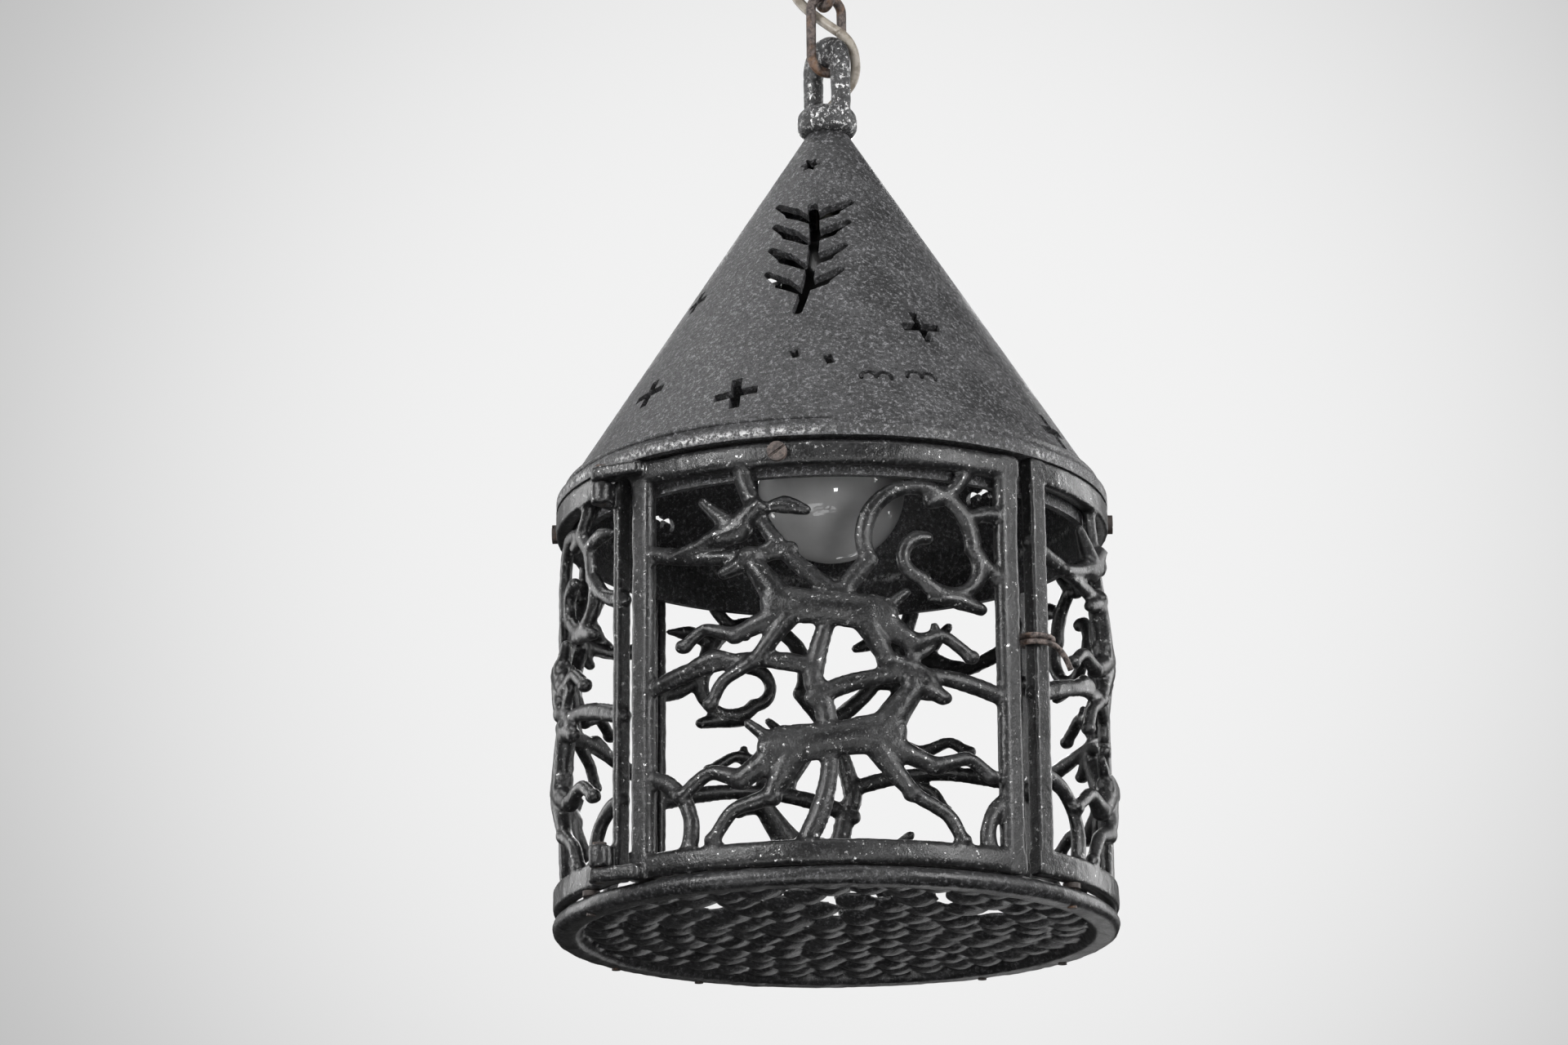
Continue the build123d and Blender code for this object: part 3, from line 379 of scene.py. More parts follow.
def make_mesh(name, shape, weld=1e-7):
    """A closed mesh of points in metres, quads and caps."""
    points, quads, caps = shape
    mesh = bpy.data.meshes.new(name)
    mesh.from_pydata(points.tolist(), [], quads.tolist() + [cap.tolist() for cap in caps])
    return merged(mesh, weld, True)


def smooth_object(name, mesh):
    """An object at the origin with a smooth-shaded mesh."""
    mesh.polygons.foreach_set("use_smooth", np.ones(len(mesh.polygons), dtype=bool))
    thing = bpy.data.objects.new(name, mesh)
    bpy.context.scene.collection.objects.link(thing)
    return thing


def lattice_noise(points, cell, seed):
    """Value noise: seeded heights on a cubic lattice, blended smoothly between each cell's eight corners."""
    size = 48
    table = np.random.default_rng(seed).random((size, size, size)) * 2 - 1
    grid = points / cell
    base = np.floor(grid).astype(int)
    part = grid - base
    part = part * part * (3 - 2 * part)
    total = np.zeros(len(points))
    for corner in np.ndindex(2, 2, 2):
        pick = (base + corner) % size
        weight = np.prod(np.where(np.array(corner) == 1, part, 1 - part), axis=1)
        total += weight * table[pick[:, 0], pick[:, 1], pick[:, 2]]
    return total


def new_piece(name, shape, weld=1e-7):
    """A smooth object of points in metres, quads and caps."""
    return smooth_object(name, make_mesh(name, shape, weld))


def rows_of(mesh, what="co"):
    """The places of a mesh's points, or their normals, as rows."""
    values = np.empty(len(mesh.vertices) * 3)
    mesh.vertices.foreach_get(what, values)
    return values.reshape(-1, 3)


def cast(piece, mesh, cell):
    """A casting: the shapes of a mesh united in even cells, smoothed, then pushed along its normals by slow and
    fine noise."""
    rounds, seed = CASTINGS[piece]
    rough = bpy.data.objects.new(piece + "_rough", mesh)
    bpy.context.scene.collection.objects.link(rough)
    remesh = rough.modifiers.new("cells", "REMESH")
    remesh.mode = "VOXEL"
    remesh.voxel_size = cell
    smooth = rough.modifiers.new("smooth", "SMOOTH")
    smooth.factor = 0.5
    smooth.iterations = rounds
    graph = bpy.context.evaluated_depsgraph_get()
    done = bpy.data.meshes.new_from_object(rough.evaluated_get(graph))
    bpy.data.objects.remove(rough)
    points = rows_of(done)
    slow = lattice_noise(points, SLOW_LUMPS, seed) * SLOW_SHARE
    fine = lattice_noise(points, FINE_LUMPS, seed + 1) * FINE_SHARE
    push = sizes().lump_height * (slow + fine)
    done.vertices.foreach_set("co", (points + rows_of(done, "normal") * push[:, None]).ravel())
    done.update()
    done.name = piece + "_cast"
    return smooth_object(done.name, done)


def copy_of_node(node):
    """A merged copy of a CAD node's mesh."""
    return merged(frame["nodes"][node].data.copy(), 1e-6)


def on_drum(x, height, depth, turn):
    """Flat drawing to drum: x becomes the sine of the angle on the wall's middle, depth goes outward and the
    drawing turns about the axis."""
    angle = np.arcsin(np.clip(x / DRUM_MIDDLE, -0.99, 0.99)) + np.radians(turn)
    radius = DRUM_MIDDLE + depth
    level = np.broadcast_to(height, angle.shape)
    return np.stack([radius * np.sin(angle), -radius * np.cos(angle), level], axis=-1)


def round_ends(path, half):
    """A path with half widths, longer at both ends by a quarter circle of points so that its bar ends round."""
    quarter = np.radians(np.linspace(0, 84, 6))[1:]
    out = unit(path[0] - path[1])
    on = unit(path[-1] - path[-2])
    head = path[0] + out * (half[0] * np.sin(quarter))[::-1, None]
    tail = path[-1] + on * (half[-1] * np.sin(quarter))[:, None]
    halves = np.concatenate([(half[0] * np.cos(quarter))[::-1], half, half[-1] * np.cos(quarter)])
    return np.concatenate([head, path, tail]), halves


def drum_rod(flat, half, depth, sill, turn, lift, around=14):
    """Bar on the drum along a flat path: an oval, half wide along the wall and depth deep across it, drawn in to a
    lens where it is flat."""
    flat, half = round_ends(np.asarray(flat, float), np.asarray(half, float))
    deep = np.minimum(half, depth)
    along = unit(np.gradient(flat, axis=0))
    side = np.stack([-along[:, 1], along[:, 0]], axis=-1)
    angle = full_turn(around)
    x = flat[:, :1] + side[:, :1] * half[:, None] * np.cos(angle)
    y = flat[:, 1:] + side[:, 1:] * half[:, None] * np.cos(angle)
    flatness = np.clip(2 - 2 * deep / half, 0, 1)[:, None]
    wave = np.sin(angle)
    across = lift + deep[:, None] * wave * (1 - flatness * (1 - np.abs(wave)))
    return skin(on_drum(x, sill + y, across, turn))


def arc_path(start, middle, end, steps=26):
    """Circle arc through three points of the flat drawing."""
    (ax, ay), (bx, by), (cx, cy) = start, middle, end
    d = 2 * (ax * (by - cy) + bx * (cy - ay) + cx * (ay - by))
    squares = [ax * ax + ay * ay, bx * bx + by * by, cx * cx + cy * cy]
    ux = (squares[0] * (by - cy) + squares[1] * (cy - ay) + squares[2] * (ay - by)) / d
    uy = (squares[0] * (cx - bx) + squares[1] * (ax - cx) + squares[2] * (bx - ax)) / d
    first, mid, last = (math.atan2(y - uy, x - ux) for x, y in (start, middle, end))
    mid = first + (mid - first) % (2 * math.pi)
    last = first + (last - first) % (2 * math.pi)
    if mid > last:
        last -= 2 * math.pi
    angle = np.linspace(first, last, steps)
    radius = math.hypot(ax - ux, ay - uy)
    return np.stack([ux + radius * np.cos(angle), uy + radius * np.sin(angle)], axis=-1)


def soft_path(stroke, place, steps=22):
    """A figure's stroke through its points, its corners eased by averaging three times, in the drawing's place."""
    x, y, facing, size = place
    points = np.array(stroke, float)
    knots = np.linspace(0, 1, len(points))
    at = np.linspace(0, 1, steps)
    dense = np.stack([np.interp(at, knots, points[:, k]) for k in range(3)], axis=-1)
    for _ in range(3):
        dense[1:-1] = (dense[:-2] + 2 * dense[1:-1] + dense[2:]) / 4
    flat = np.stack([x + facing * size * dense[:, 0], y + size * dense[:, 1]], axis=-1)
    return flat, size * dense[:, 2]


def swell(x, y, half, depth, sill, turn, lift):
    """Rounded lump on the drum: a short oval bar that is almost a ball."""
    flat = np.stack([np.linspace(x - half * 0.1, x + half * 0.1, 5), np.full(5, y)], axis=-1)
    return drum_rod(flat, np.full(5, half), depth, sill, turn, lift)


def openwork(half_width, sill, turn):
    """Branches, leaves and animals of one panel, cut where they reach its stiles."""
    rod_depth = sizes().rod_depth / MM
    figure_depth = sizes().figure_depth / MM
    parts = []
    for start, middle, end, width in BRANCH_ARCS:
        flat = arc_path(start, middle, end)
        flat = flat[np.abs(flat[:, 0]) < half_width]
        half = width / 2 * (1 + 0.10 * np.sin(np.linspace(0, 3 * np.pi, len(flat))))
        parts.append(drum_rod(flat, half, rod_depth, sill, turn, BRANCH_LIFT))
    for place in LEAF_PLACES:
        flat, half = soft_path(LEAF_STROKE, place)
        parts.append(drum_rod(flat, half, rod_depth, sill, turn, LEAF_LIFT))
    herd = (DEER_STROKES + ANTLER_STROKES, STAG_PLACE), (DEER_STROKES, HIND_PLACE), (BIRD_STROKES, BIRD_PLACE)
    for strokes, place in herd:
        for stroke in strokes:
            flat, half = soft_path(stroke, place)
            parts.append(drum_rod(flat, half, figure_depth, sill, turn, FIGURE_LIFT))
    for x, y, facing, size in (STAG_PLACE, HIND_PLACE):
        for sx, sy, half in DEER_SWELLS:
            place = (x + facing * size * sx, y + size * sy, size * half)
            parts.append(swell(*place, min(figure_depth, size * half), sill, turn, SWELL_LIFT))
    eyes = (DEER_EYE, STAG_PLACE), (DEER_EYE, HIND_PLACE), (BIRD_EYE, BIRD_PLACE)
    for (ex, ey, half), (x, y, facing, size) in eyes:
        parts.append(swell(x + facing * size * ex, y + size * ey, half, half, sill, turn, EYE_LIFT))
    return parts


def rounded_box(width, height, rounding, steps=5):
    """Outline of a rectangle with quarter-round corners, anticlockwise."""
    quarter = np.radians(np.linspace(0, 90, steps))
    corners = [(1, 1, 0), (-1, 1, 90), (-1, -1, 180), (1, -1, 270)]
    points = [
        np.stack([
            sx * (width / 2 - rounding) + rounding * np.cos(quarter + np.radians(turn)),
            sy * (height / 2 - rounding) + rounding * np.sin(quarter + np.radians(turn)),
        ], axis=-1)
        for sx, sy, turn in corners
    ]
    return np.concatenate(points)


def carried_round(outline, radius, height, angle, closed=False):
    """Curved bar: an outline at a radius and a height, carried round the axis through the angles."""
    across, angle = radius + outline[:, 0], angle[:, None]
    level = np.broadcast_to(height + outline[:, 1], (len(angle), len(outline)))
    return skin(np.stack([across * np.sin(angle), -across * np.cos(angle), level], axis=-1), closed)


def rail(span, bottom, top, rounding, steps=48):
    """Rail: a rounded rectangle as deep as the wall, carried round between two angles."""
    outline = rounded_box(DRUM_WALL, top - bottom, rounding)
    return carried_round(outline, DRUM_MIDDLE, (bottom + top) / 2, np.radians(np.linspace(*span, steps)))


def stile(angle, width, bottom, top, rounding, steps=60):
    """Upright bar: a rounded rectangle on the drum's wall, carried straight up."""
    outline = rounded_box(width, DRUM_WALL, rounding)
    height = np.linspace(bottom, top, steps)[:, None]
    turn = math.radians(angle)
    across, deep = outline[:, 0], DRUM_MIDDLE - outline[:, 1]
    x = across * math.cos(turn) + deep * math.sin(turn)
    y = across * math.sin(turn) - deep * math.cos(turn)
    return skin(np.stack(np.broadcast_arrays(x, y, height), axis=-1))


def framed_openwork(span, middle, reach, levels, height, widths, roundings):
    """Openwork about a middle angle, out to the last stile at an angle of reach from it, between two rails of a
    height and two stiles of the widths."""
    bottom, top = levels
    sill, head = bottom + height, top - height
    edges = [math.degrees(width / 2 / DRUM_MIDDLE) for width in widths]
    parts = openwork(DRUM_MIDDLE * math.sin(math.radians(reach - edges[1])), sill, middle)
    parts += [rail(span, bottom, sill, roundings[0]), rail(span, head, top, roundings[0])]
    parts.append(stile(span[0] + edges[0], widths[0], bottom, top, roundings[1]))
    parts.append(stile(span[1] - edges[1], widths[1], bottom, top, roundings[1]))
    return parts


def hinge_arm(root_angle, root_radius, root_half, bottom, top, bevel=0.7):
    """Flat arm: the outline round the hinge boss and its root, carried up with its rims drawn in."""
    def place(angle, radius):
        return np.array([radius * math.sin(math.radians(angle)), -radius * math.cos(math.radians(angle))])

    boss, root = place(HINGE_ANGLE, HINGE_RADIUS), place(root_angle, root_radius)
    heading = math.atan2(*(root - boss)[::-1])
    turn = np.linspace(np.pi / 2, 3 * np.pi / 2, 14) + heading

    def outline(inset):
        direction = np.stack([np.cos(turn), np.sin(turn)], axis=-1)
        far = np.stack([np.cos(turn + np.pi), np.sin(turn + np.pi)], axis=-1)
        return np.concatenate([boss + direction * (HINGE_BOSS - inset), root + far * (root_half - inset)])

    levels = [(bottom, bevel), (bottom + bevel, 0), (top - bevel, 0), (top, bevel)]
    rings = [np.column_stack([outline(inset), np.full(2 * len(turn), height)]) for height, inset in levels]
    return skin(np.array(rings))


def box_mm(node):
    """A node's lowest and highest corner in millimetres."""
    low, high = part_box(node)
    return np.array(low) / MM, np.array(high) / MM


def tube(path, radius, around, closed=False):
    """Round wire: a circle of the radius at each point of a path, across its direction, turned to a fixed guide."""
    along = np.roll(path, -1, axis=0) - np.roll(path, 1, axis=0) if closed else np.gradient(path, axis=0)
    along = unit(along)
    guide = np.array([0.31, 0.83, 0.47])
    side = unit(np.cross(along, guide))
    up = np.cross(side, along)
    angle = full_turn(around)
    reach = np.broadcast_to(radius, (len(path),))[:, None, None]
    circle = np.cos(angle)[:, None] * side[:, None] + np.sin(angle)[:, None] * up[:, None]
    return skin(path[:, None] + reach * circle, closed)


def turned(profile, steps):
    """Turned shape: a profile of radius and height, from pole to pole, carried round the axis."""
    angle = full_turn(steps)
    radius, height = profile[:, :1], profile[:, 1:]
    level = np.broadcast_to(height, (len(profile), steps))
    return skin(np.stack([radius * np.cos(angle), radius * np.sin(angle), level], axis=-1))


def bent(ease, start, knee, end):
    """Bend: a parabola from a start to an end, drawn towards a knee; ease runs along it from 0 to 1."""
    return (1 - ease) ** 2 * start + 2 * ease * (1 - ease) * knee + ease**2 * end


# Shader groups and materials


def feed(tree, node, inputs):
    """Link sockets to a node's inputs or set their values; a colour gets full opacity."""
    for name, value in inputs.items():
        socket = node.inputs[name]
        if isinstance(value, bpy.types.NodeSocket):
            tree.links.new(value, socket)
        elif value is not None:
            socket.default_value = (*value[:3], 1.0) if socket.type == "RGBA" else value


def new_node(tree, kind, inputs, **settings):
    """A shader node of a kind, with its settings made and its inputs fed."""
    node = tree.nodes.new(kind)
    for name, value in settings.items():
        setattr(node, name, value)
    feed(tree, node, inputs)
    return node


def new_group(name, inputs, outputs):
    """An empty shader group with named sockets; returned with what its inputs give and its output node."""
    tree = bpy.data.node_groups.new(name, "ShaderNodeTree")
    for side, sockets in (("INPUT", inputs), ("OUTPUT", outputs)):
        for title, kind in sockets.items():
            tree.interface.new_socket(title, in_out=side, socket_type=kind)
    return tree, tree.nodes.new("NodeGroupInput").outputs, tree.nodes.new("NodeGroupOutput")


def math_node(tree, operation, a, b=None, clamp=False):
    """A math node on values or sockets; returns its output."""
    return new_node(tree, "ShaderNodeMath", {0: a, 1: b}, operation=operation, use_clamp=clamp).outputs[0]


def scaled(tree, value, factor, offset):
    """A value times a factor, plus an offset; returns its output."""
    return math_node(tree, "ADD", math_node(tree, "MULTIPLY", value, factor), offset)


def noise_node(tree, vector, scale, detail, rough):
    """A noise texture on a vector; returns its value."""
    inputs = {"Vector": vector, "Scale": scale, "Detail": detail, "Roughness": rough}
    return new_node(tree, "ShaderNodeTexNoise", inputs).outputs["Fac"]


def ramp(tree, value, low, high):
    """A smooth step of a value between two levels."""
    inputs = {"Value": value, "From Min": low, "From Max": high}
    return new_node(tree, "ShaderNodeMapRange", inputs, interpolation_type="SMOOTHSTEP").outputs["Result"]


def mix_colour(tree, factor, a, b):
    """A mix of two colours; each may be a socket or a colour."""
    return new_node(tree, "ShaderNodeMix", {0: factor, 6: a, 7: b}, data_type="RGBA").outputs[2]


def height_of(tree, place):
    """The z of a place; returns its output."""
    return new_node(tree, "ShaderNodeSeparateXYZ", {0: place}).outputs["Z"]


def sand_cast_grain():
    """Sand-cast grain: coarse and fine noise as a height, masks of its crests and pits, and slow patches;
    black_iron paints the crests lighter as a painted highlight and the pits darker as painted shade.
    """
    titles = ("Height", "CrestHighlight", "PitShade", "Patches")
    inputs = {"Vector": VECTOR, "Scale": FLOAT}
    tree, given, out = new_group("sand_cast_grain", inputs, dict.fromkeys(titles, FLOAT))
    noises = []
    # Cells per metre, detail and roughness of the fine, the coarse and the slow noise
    for cells, detail, rough in ((1500.0, 3.0, 0.55), (620.0, 3.0, 0.6), (42.0, 5.0, 0.62)):
        scale = math_node(tree, "MULTIPLY", given["Scale"], cells)
        noises.append(noise_node(tree, given["Vector"], scale, detail, rough))
    fine, coarse, slow = noises
    height = scaled(tree, fine, 0.45, math_node(tree, "MULTIPLY", coarse, 0.55))
    # The grain's highest points, which black_iron paints lighter as a painted highlight
    crest_highlight = ramp(tree, height, 0.515, 0.625)
    # The grain's lowest points, which black_iron paints darker as painted shade
    pits = ramp(tree, height, 0.47, 0.39)
    patches = ramp(tree, slow, 0.34, 0.70)
    feed(tree, out, dict(zip(titles, (height, crest_highlight, pits, patches))))
    return tree


def edge_wear():
    """Edge wear: the pointed edges of the mesh, broken up by flakes and zones of noise, and chips, as a mask."""
    values = dict.fromkeys(("Pointiness", "Edge", "Spread", "Cover"), FLOAT)
    tree, given, out = new_group("edge_wear", {"Vector": VECTOR} | values, {"Mask": FLOAT})
    flakes = noise_node(tree, given["Vector"], 520.0, 5.0, 0.75)
    zones = noise_node(tree, given["Vector"], 24.0, 3.0, 0.6)
    high = math_node(tree, "ADD", given["Edge"], given["Spread"])
    edge = ramp(tree, given["Pointiness"], given["Edge"], high)
    broken = math_node(tree, "MULTIPLY", edge, ramp(tree, flakes, 0.46, 0.62))
    there = math_node(tree, "MULTIPLY", broken, ramp(tree, zones, 0.40, 0.62))
    start = math_node(tree, "SUBTRACT", 1.0, given["Cover"])
    chips = ramp(tree, flakes, start, math_node(tree, "ADD", start, 0.06))
    feed(tree, out, {"Mask": math_node(tree, "MAXIMUM", there, chips, True)})
    return tree


def rust_film():
    """Rust film: light and dark rust in blotches, stained orange in places, with a height of small pits."""
    inputs = {"Vector": VECTOR, "Light": COLOUR, "Dark": COLOUR, "Stain": COLOUR}
    tree, given, out = new_group("rust_film", inputs, {"Color": COLOUR, "Height": FLOAT, "Blotches": FLOAT})
    blotches = ramp(tree, noise_node(tree, given["Vector"], 420.0, 6.0, 0.7), 0.40, 0.60)
    pits = noise_node(tree, given["Vector"], 900.0, 4.0, 0.7)
    film = mix_colour(tree, blotches, given["Dark"], given["Light"])
    stains = ramp(tree, noise_node(tree, given["Vector"], 95.0, 5.0, 0.65), 0.52, 0.68)
    stained = mix_colour(tree, math_node(tree, "MULTIPLY", stains, 0.5), film, given["Stain"])
    feed(tree, out, {"Color": stained, "Height": pits, "Blotches": blotches})
    return tree


def place_group(tree, maker, **inputs):
    """A shader group in a material, made once by the maker of its name; returns its outputs."""
    group = bpy.data.node_groups.get(maker.__name__) or maker()
    return new_node(tree, "ShaderNodeGroup", inputs, node_tree=group).outputs


def new_material(name):
    """A material; returned with its tree, its Principled shader and the object coordinates."""
    material = bpy.data.materials.new(name)
    material.use_nodes = True
    tree = material.node_tree
    shader = tree.nodes["Principled BSDF"]
    return material, tree, shader, new_node(tree, "ShaderNodeTexCoord", {}).outputs["Object"]


def bump(tree, height, strength, distance):
    """A normal from a height; returns its output."""
    inputs = {"Height": height, "Strength": strength, "Distance": distance}
    return new_node(tree, "ShaderNodeBump", inputs).outputs["Normal"]


def black_iron(name, grain, relief, edge, cover, rough, tone, spread=0.08, crest_highlight_gain=4.2, eave=None):
    """Painted cast iron: grained black paint, worn to bare iron in chips and on its edges or, where the depth of an
    eave is given, along that eave.
    The paint's brightness on each casting is painted light and shade; the grain's crests are painted lighter as a
    painted highlight and its pits darker as painted shade."""
    material, tree, shader, place = new_material(name)
    sand = place_group(tree, sand_cast_grain, Vector=place, Scale=grain)
    if eave is None:
        point = new_node(tree, "ShaderNodeNewGeometry", {}).outputs["Pointiness"]
    else:
        away = math_node(tree, "ABSOLUTE", math_node(tree, "ADD", height_of(tree, place), eave))
        point = math_node(tree, "SUBTRACT", EAVE_WEAR, math_node(tree, "MULTIPLY", away, EAVE_FALL))
    wear = place_group(tree, edge_wear, Vector=place, Pointiness=point, Edge=edge, Spread=spread, Cover=cover)
    worn = wear["Mask"]
    # Painted light and shade: the tone makes this casting's black paint lighter or darker to stand in for how lit
    # it is
    paint = np.array(colours().paint) * tone
    patched = mix_colour(tree, sand["Patches"], paint * 0.6, paint * 1.3)
    # Painted highlight: the grain's crests are painted several times lighter than the paint
    crest_highlighted = mix_colour(tree, sand["CrestHighlight"], patched, paint * crest_highlight_gain)
    # Painted shade: the grain's pits are painted darker, down to 0.3 of the paint
    pit_shaded = mix_colour(tree, sand["PitShade"], crest_highlighted, paint * 0.3)
    dull = scaled(tree, ramp(tree, sand["Patches"], 0.0, 1.0), rough[1] - rough[0], rough[0])
    feed(tree, shader, {
        "Base Color": mix_colour(tree, worn, pit_shaded, colours().bare),
        "Metallic": math_node(tree, "MULTIPLY", worn, 0.7),
        "Roughness": math_node(tree, "SUBTRACT", dull, math_node(tree, "MULTIPLY", worn, 0.15), True),
        "Normal": bump(tree, sand["Height"], relief, 0.0008),
    })
    return material


def rusty_iron(name, light=1.0):
    """Bare iron under a rust film."""
    material, tree, shader, place = new_material(name)
    tint = [value * light for value in colours().rust]
    film = place_group(
        tree, rust_film, Vector=place, Light=tint, Dark=colours().rust_dark, Stain=colours().rust_stain,
    )
    bare = math_node(tree, "SUBTRACT", 1.0, film["Blotches"])
    feed(tree, shader, {
        "Base Color": film["Color"],
        "Metallic": math_node(tree, "MULTIPLY", bare, 0.5),
        "Roughness": scaled(tree, film["Blotches"], 0.3, 0.48),
        "Normal": bump(tree, film["Height"], 0.5, 0.0004),
    })
    return material


def plain_finish(name, colour, rough, metal=0.0, scale=160.0, relief=0.12, spread=0.18):
    """A finish with slight mottling of colour, roughness and height."""
    material, tree, shader, place = new_material(name)
    mottle = noise_node(tree, place, scale, 5.0, 0.6)
    low = [value * (1 - spread) for value in colour]
    high = [min(1.0, value * (1 + spread)) for value in colour]
    feed(tree, shader, {
        "Base Color": mix_colour(tree, ramp(tree, mottle, 0.3, 0.7), low, high),
        "Metallic": metal,
        "Roughness": scaled(tree, mottle, 0.16, rough - 0.08),
        "Normal": bump(tree, noise_node(tree, place, scale * 5, 3.0, 0.5), relief, 0.0002),
    })
    return material


def soiled_sheath():
    """Cream cable sheath with grey soil in patches."""
    material, tree, shader, place = new_material("soiled_sheath")
    soil = ramp(tree, noise_node(tree, place, 190.0, 5.0, 0.65), 0.42, 0.62)
    sheath = np.array(colours().sheath)
    soiled = sheath * (0.42, 0.38, 0.33)
    feed(tree, shader, {
        "Base Color": mix_colour(tree, math_node(tree, "MULTIPLY", soil, 0.75), sheath, soiled),
        "Roughness": 0.42,
        "Normal": bump(tree, noise_node(tree, place, 700.0, 3.0, 0.5), 0.12, 0.0002),
    })
    return material


def frosted_glass():
    """Unlit frosted glass: a grey body with a faint cloudiness and a clear outer gloss."""
    material, tree, shader, place = new_material("bulb_frost")
    cloud = noise_node(tree, place, 60.0, 4.0, 0.6)
    frost = np.array(colours().frost)
    feed(tree, shader, {
        "Base Color": mix_colour(tree, ramp(tree, cloud, 0.3, 0.7), frost * 0.9, frost * 1.06),
        "Roughness": scaled(tree, cloud, 0.12, 0.36),
        "Coat Weight": 1.0,
        "Coat Roughness": 0.03,
    })
    return material


def material_named(name, maker, **values):
    """The material of that name, made once."""
    return bpy.data.materials.get(name) or maker(name, **values)


def black_finish(name):
    """The black finish of that name, made once."""
    return material_named(name, black_iron, **BLACK_FINISHES[name])


def finish_piece(thing, material, body, slot, *nodes):
    """Give a new piece its material and its body, and hide the nodes it stands for. The slot is not used."""
    thing.data.materials.clear()
    thing.data.materials.append(material)
    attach(thing, body)
    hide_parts(*nodes)


def coat_nodes(material, *nodes):
    """Put a material on CAD nodes that stay as they are."""
    for node in nodes:
        thing = frame["nodes"][node]
        for place in thing.material_slots:
            place.material = material


class LANTERN_OT_panels(bpy.types.Operator):
    """Cast the three fixed openwork panels"""

    bl_idname = "lantern.panels"
    bl_label = "Fixed panels"

    def execute(self, context):
        iron = black_finish("panel_iron")
        low, high = box_mm("back_panel")
        door_low, door_high = box_mm("door_panel")
        for name, span in PANEL_SPANS.items():
            widths = (LATCH_STILE if name == "right_panel" else FIXED_STILE), FIXED_STILE
            middle, reach = sum(span) / 2, (span[1] - span[0]) / 2
            parts = framed_openwork(span, middle, reach, (low[2], high[2]), FIXED_RAIL, widths, FIXED_ROUND)
            if name == "left_panel":
                knuckle_top = door_high[2] - LUG_HEIGHT - SEAT_GAP
                knuckle_bottom = door_low[2] + LUG_HEIGHT + SEAT_GAP
                parts.append(hinge_arm(*KNUCKLE_ROOT, knuckle_top - KNUCKLE_HEIGHT, knuckle_top))
                parts.append(hinge_arm(*KNUCKLE_ROOT, knuckle_bottom, knuckle_bottom + KNUCKLE_HEIGHT))
            mesh = make_mesh(name + "_shapes", metres(parts))
            thing = cast(name, mesh, sizes().panel_cell)
            finish_piece(thing, iron, "lantern", "black_cast_iron", name)
        return {"FINISHED"}


class LANTERN_OT_door(bpy.types.Operator):
    """Cast the door with its two hinge lugs"""

    bl_idname = "lantern.door"
    bl_label = "Door"

    def execute(self, context):
        iron = black_finish("door_iron")
        low, high = box_mm("door_panel")
        bottom, top = low[2], high[2]
        widths = DOOR_STILE, DOOR_STILE
        parts = framed_openwork(DOOR_SPAN, 0.0, DOOR_SPAN[1], (bottom, top), DOOR_RAIL, widths, DOOR_ROUND)
        parts.append(hinge_arm(*LUG_ROOT, top - LUG_HEIGHT, top))
        parts.append(hinge_arm(*LUG_ROOT, bottom, bottom + LUG_HEIGHT))
        mesh = make_mesh("door_shapes", metres(parts))
        thing = cast("door", mesh, sizes().panel_cell)
        finish_piece(thing, iron, "door", "black_cast_iron", "door_panel")
        return {"FINISHED"}


class LANTERN_OT_roof(bpy.types.Operator):
    """Paint the pierced conical roof, worn along its eave"""

    bl_idname = "lantern.roof"
    bl_label = "Roof"

    def execute(self, context):
        coat_nodes(black_finish("roof_iron"), "roof_cone")
        return {"FINISHED"}


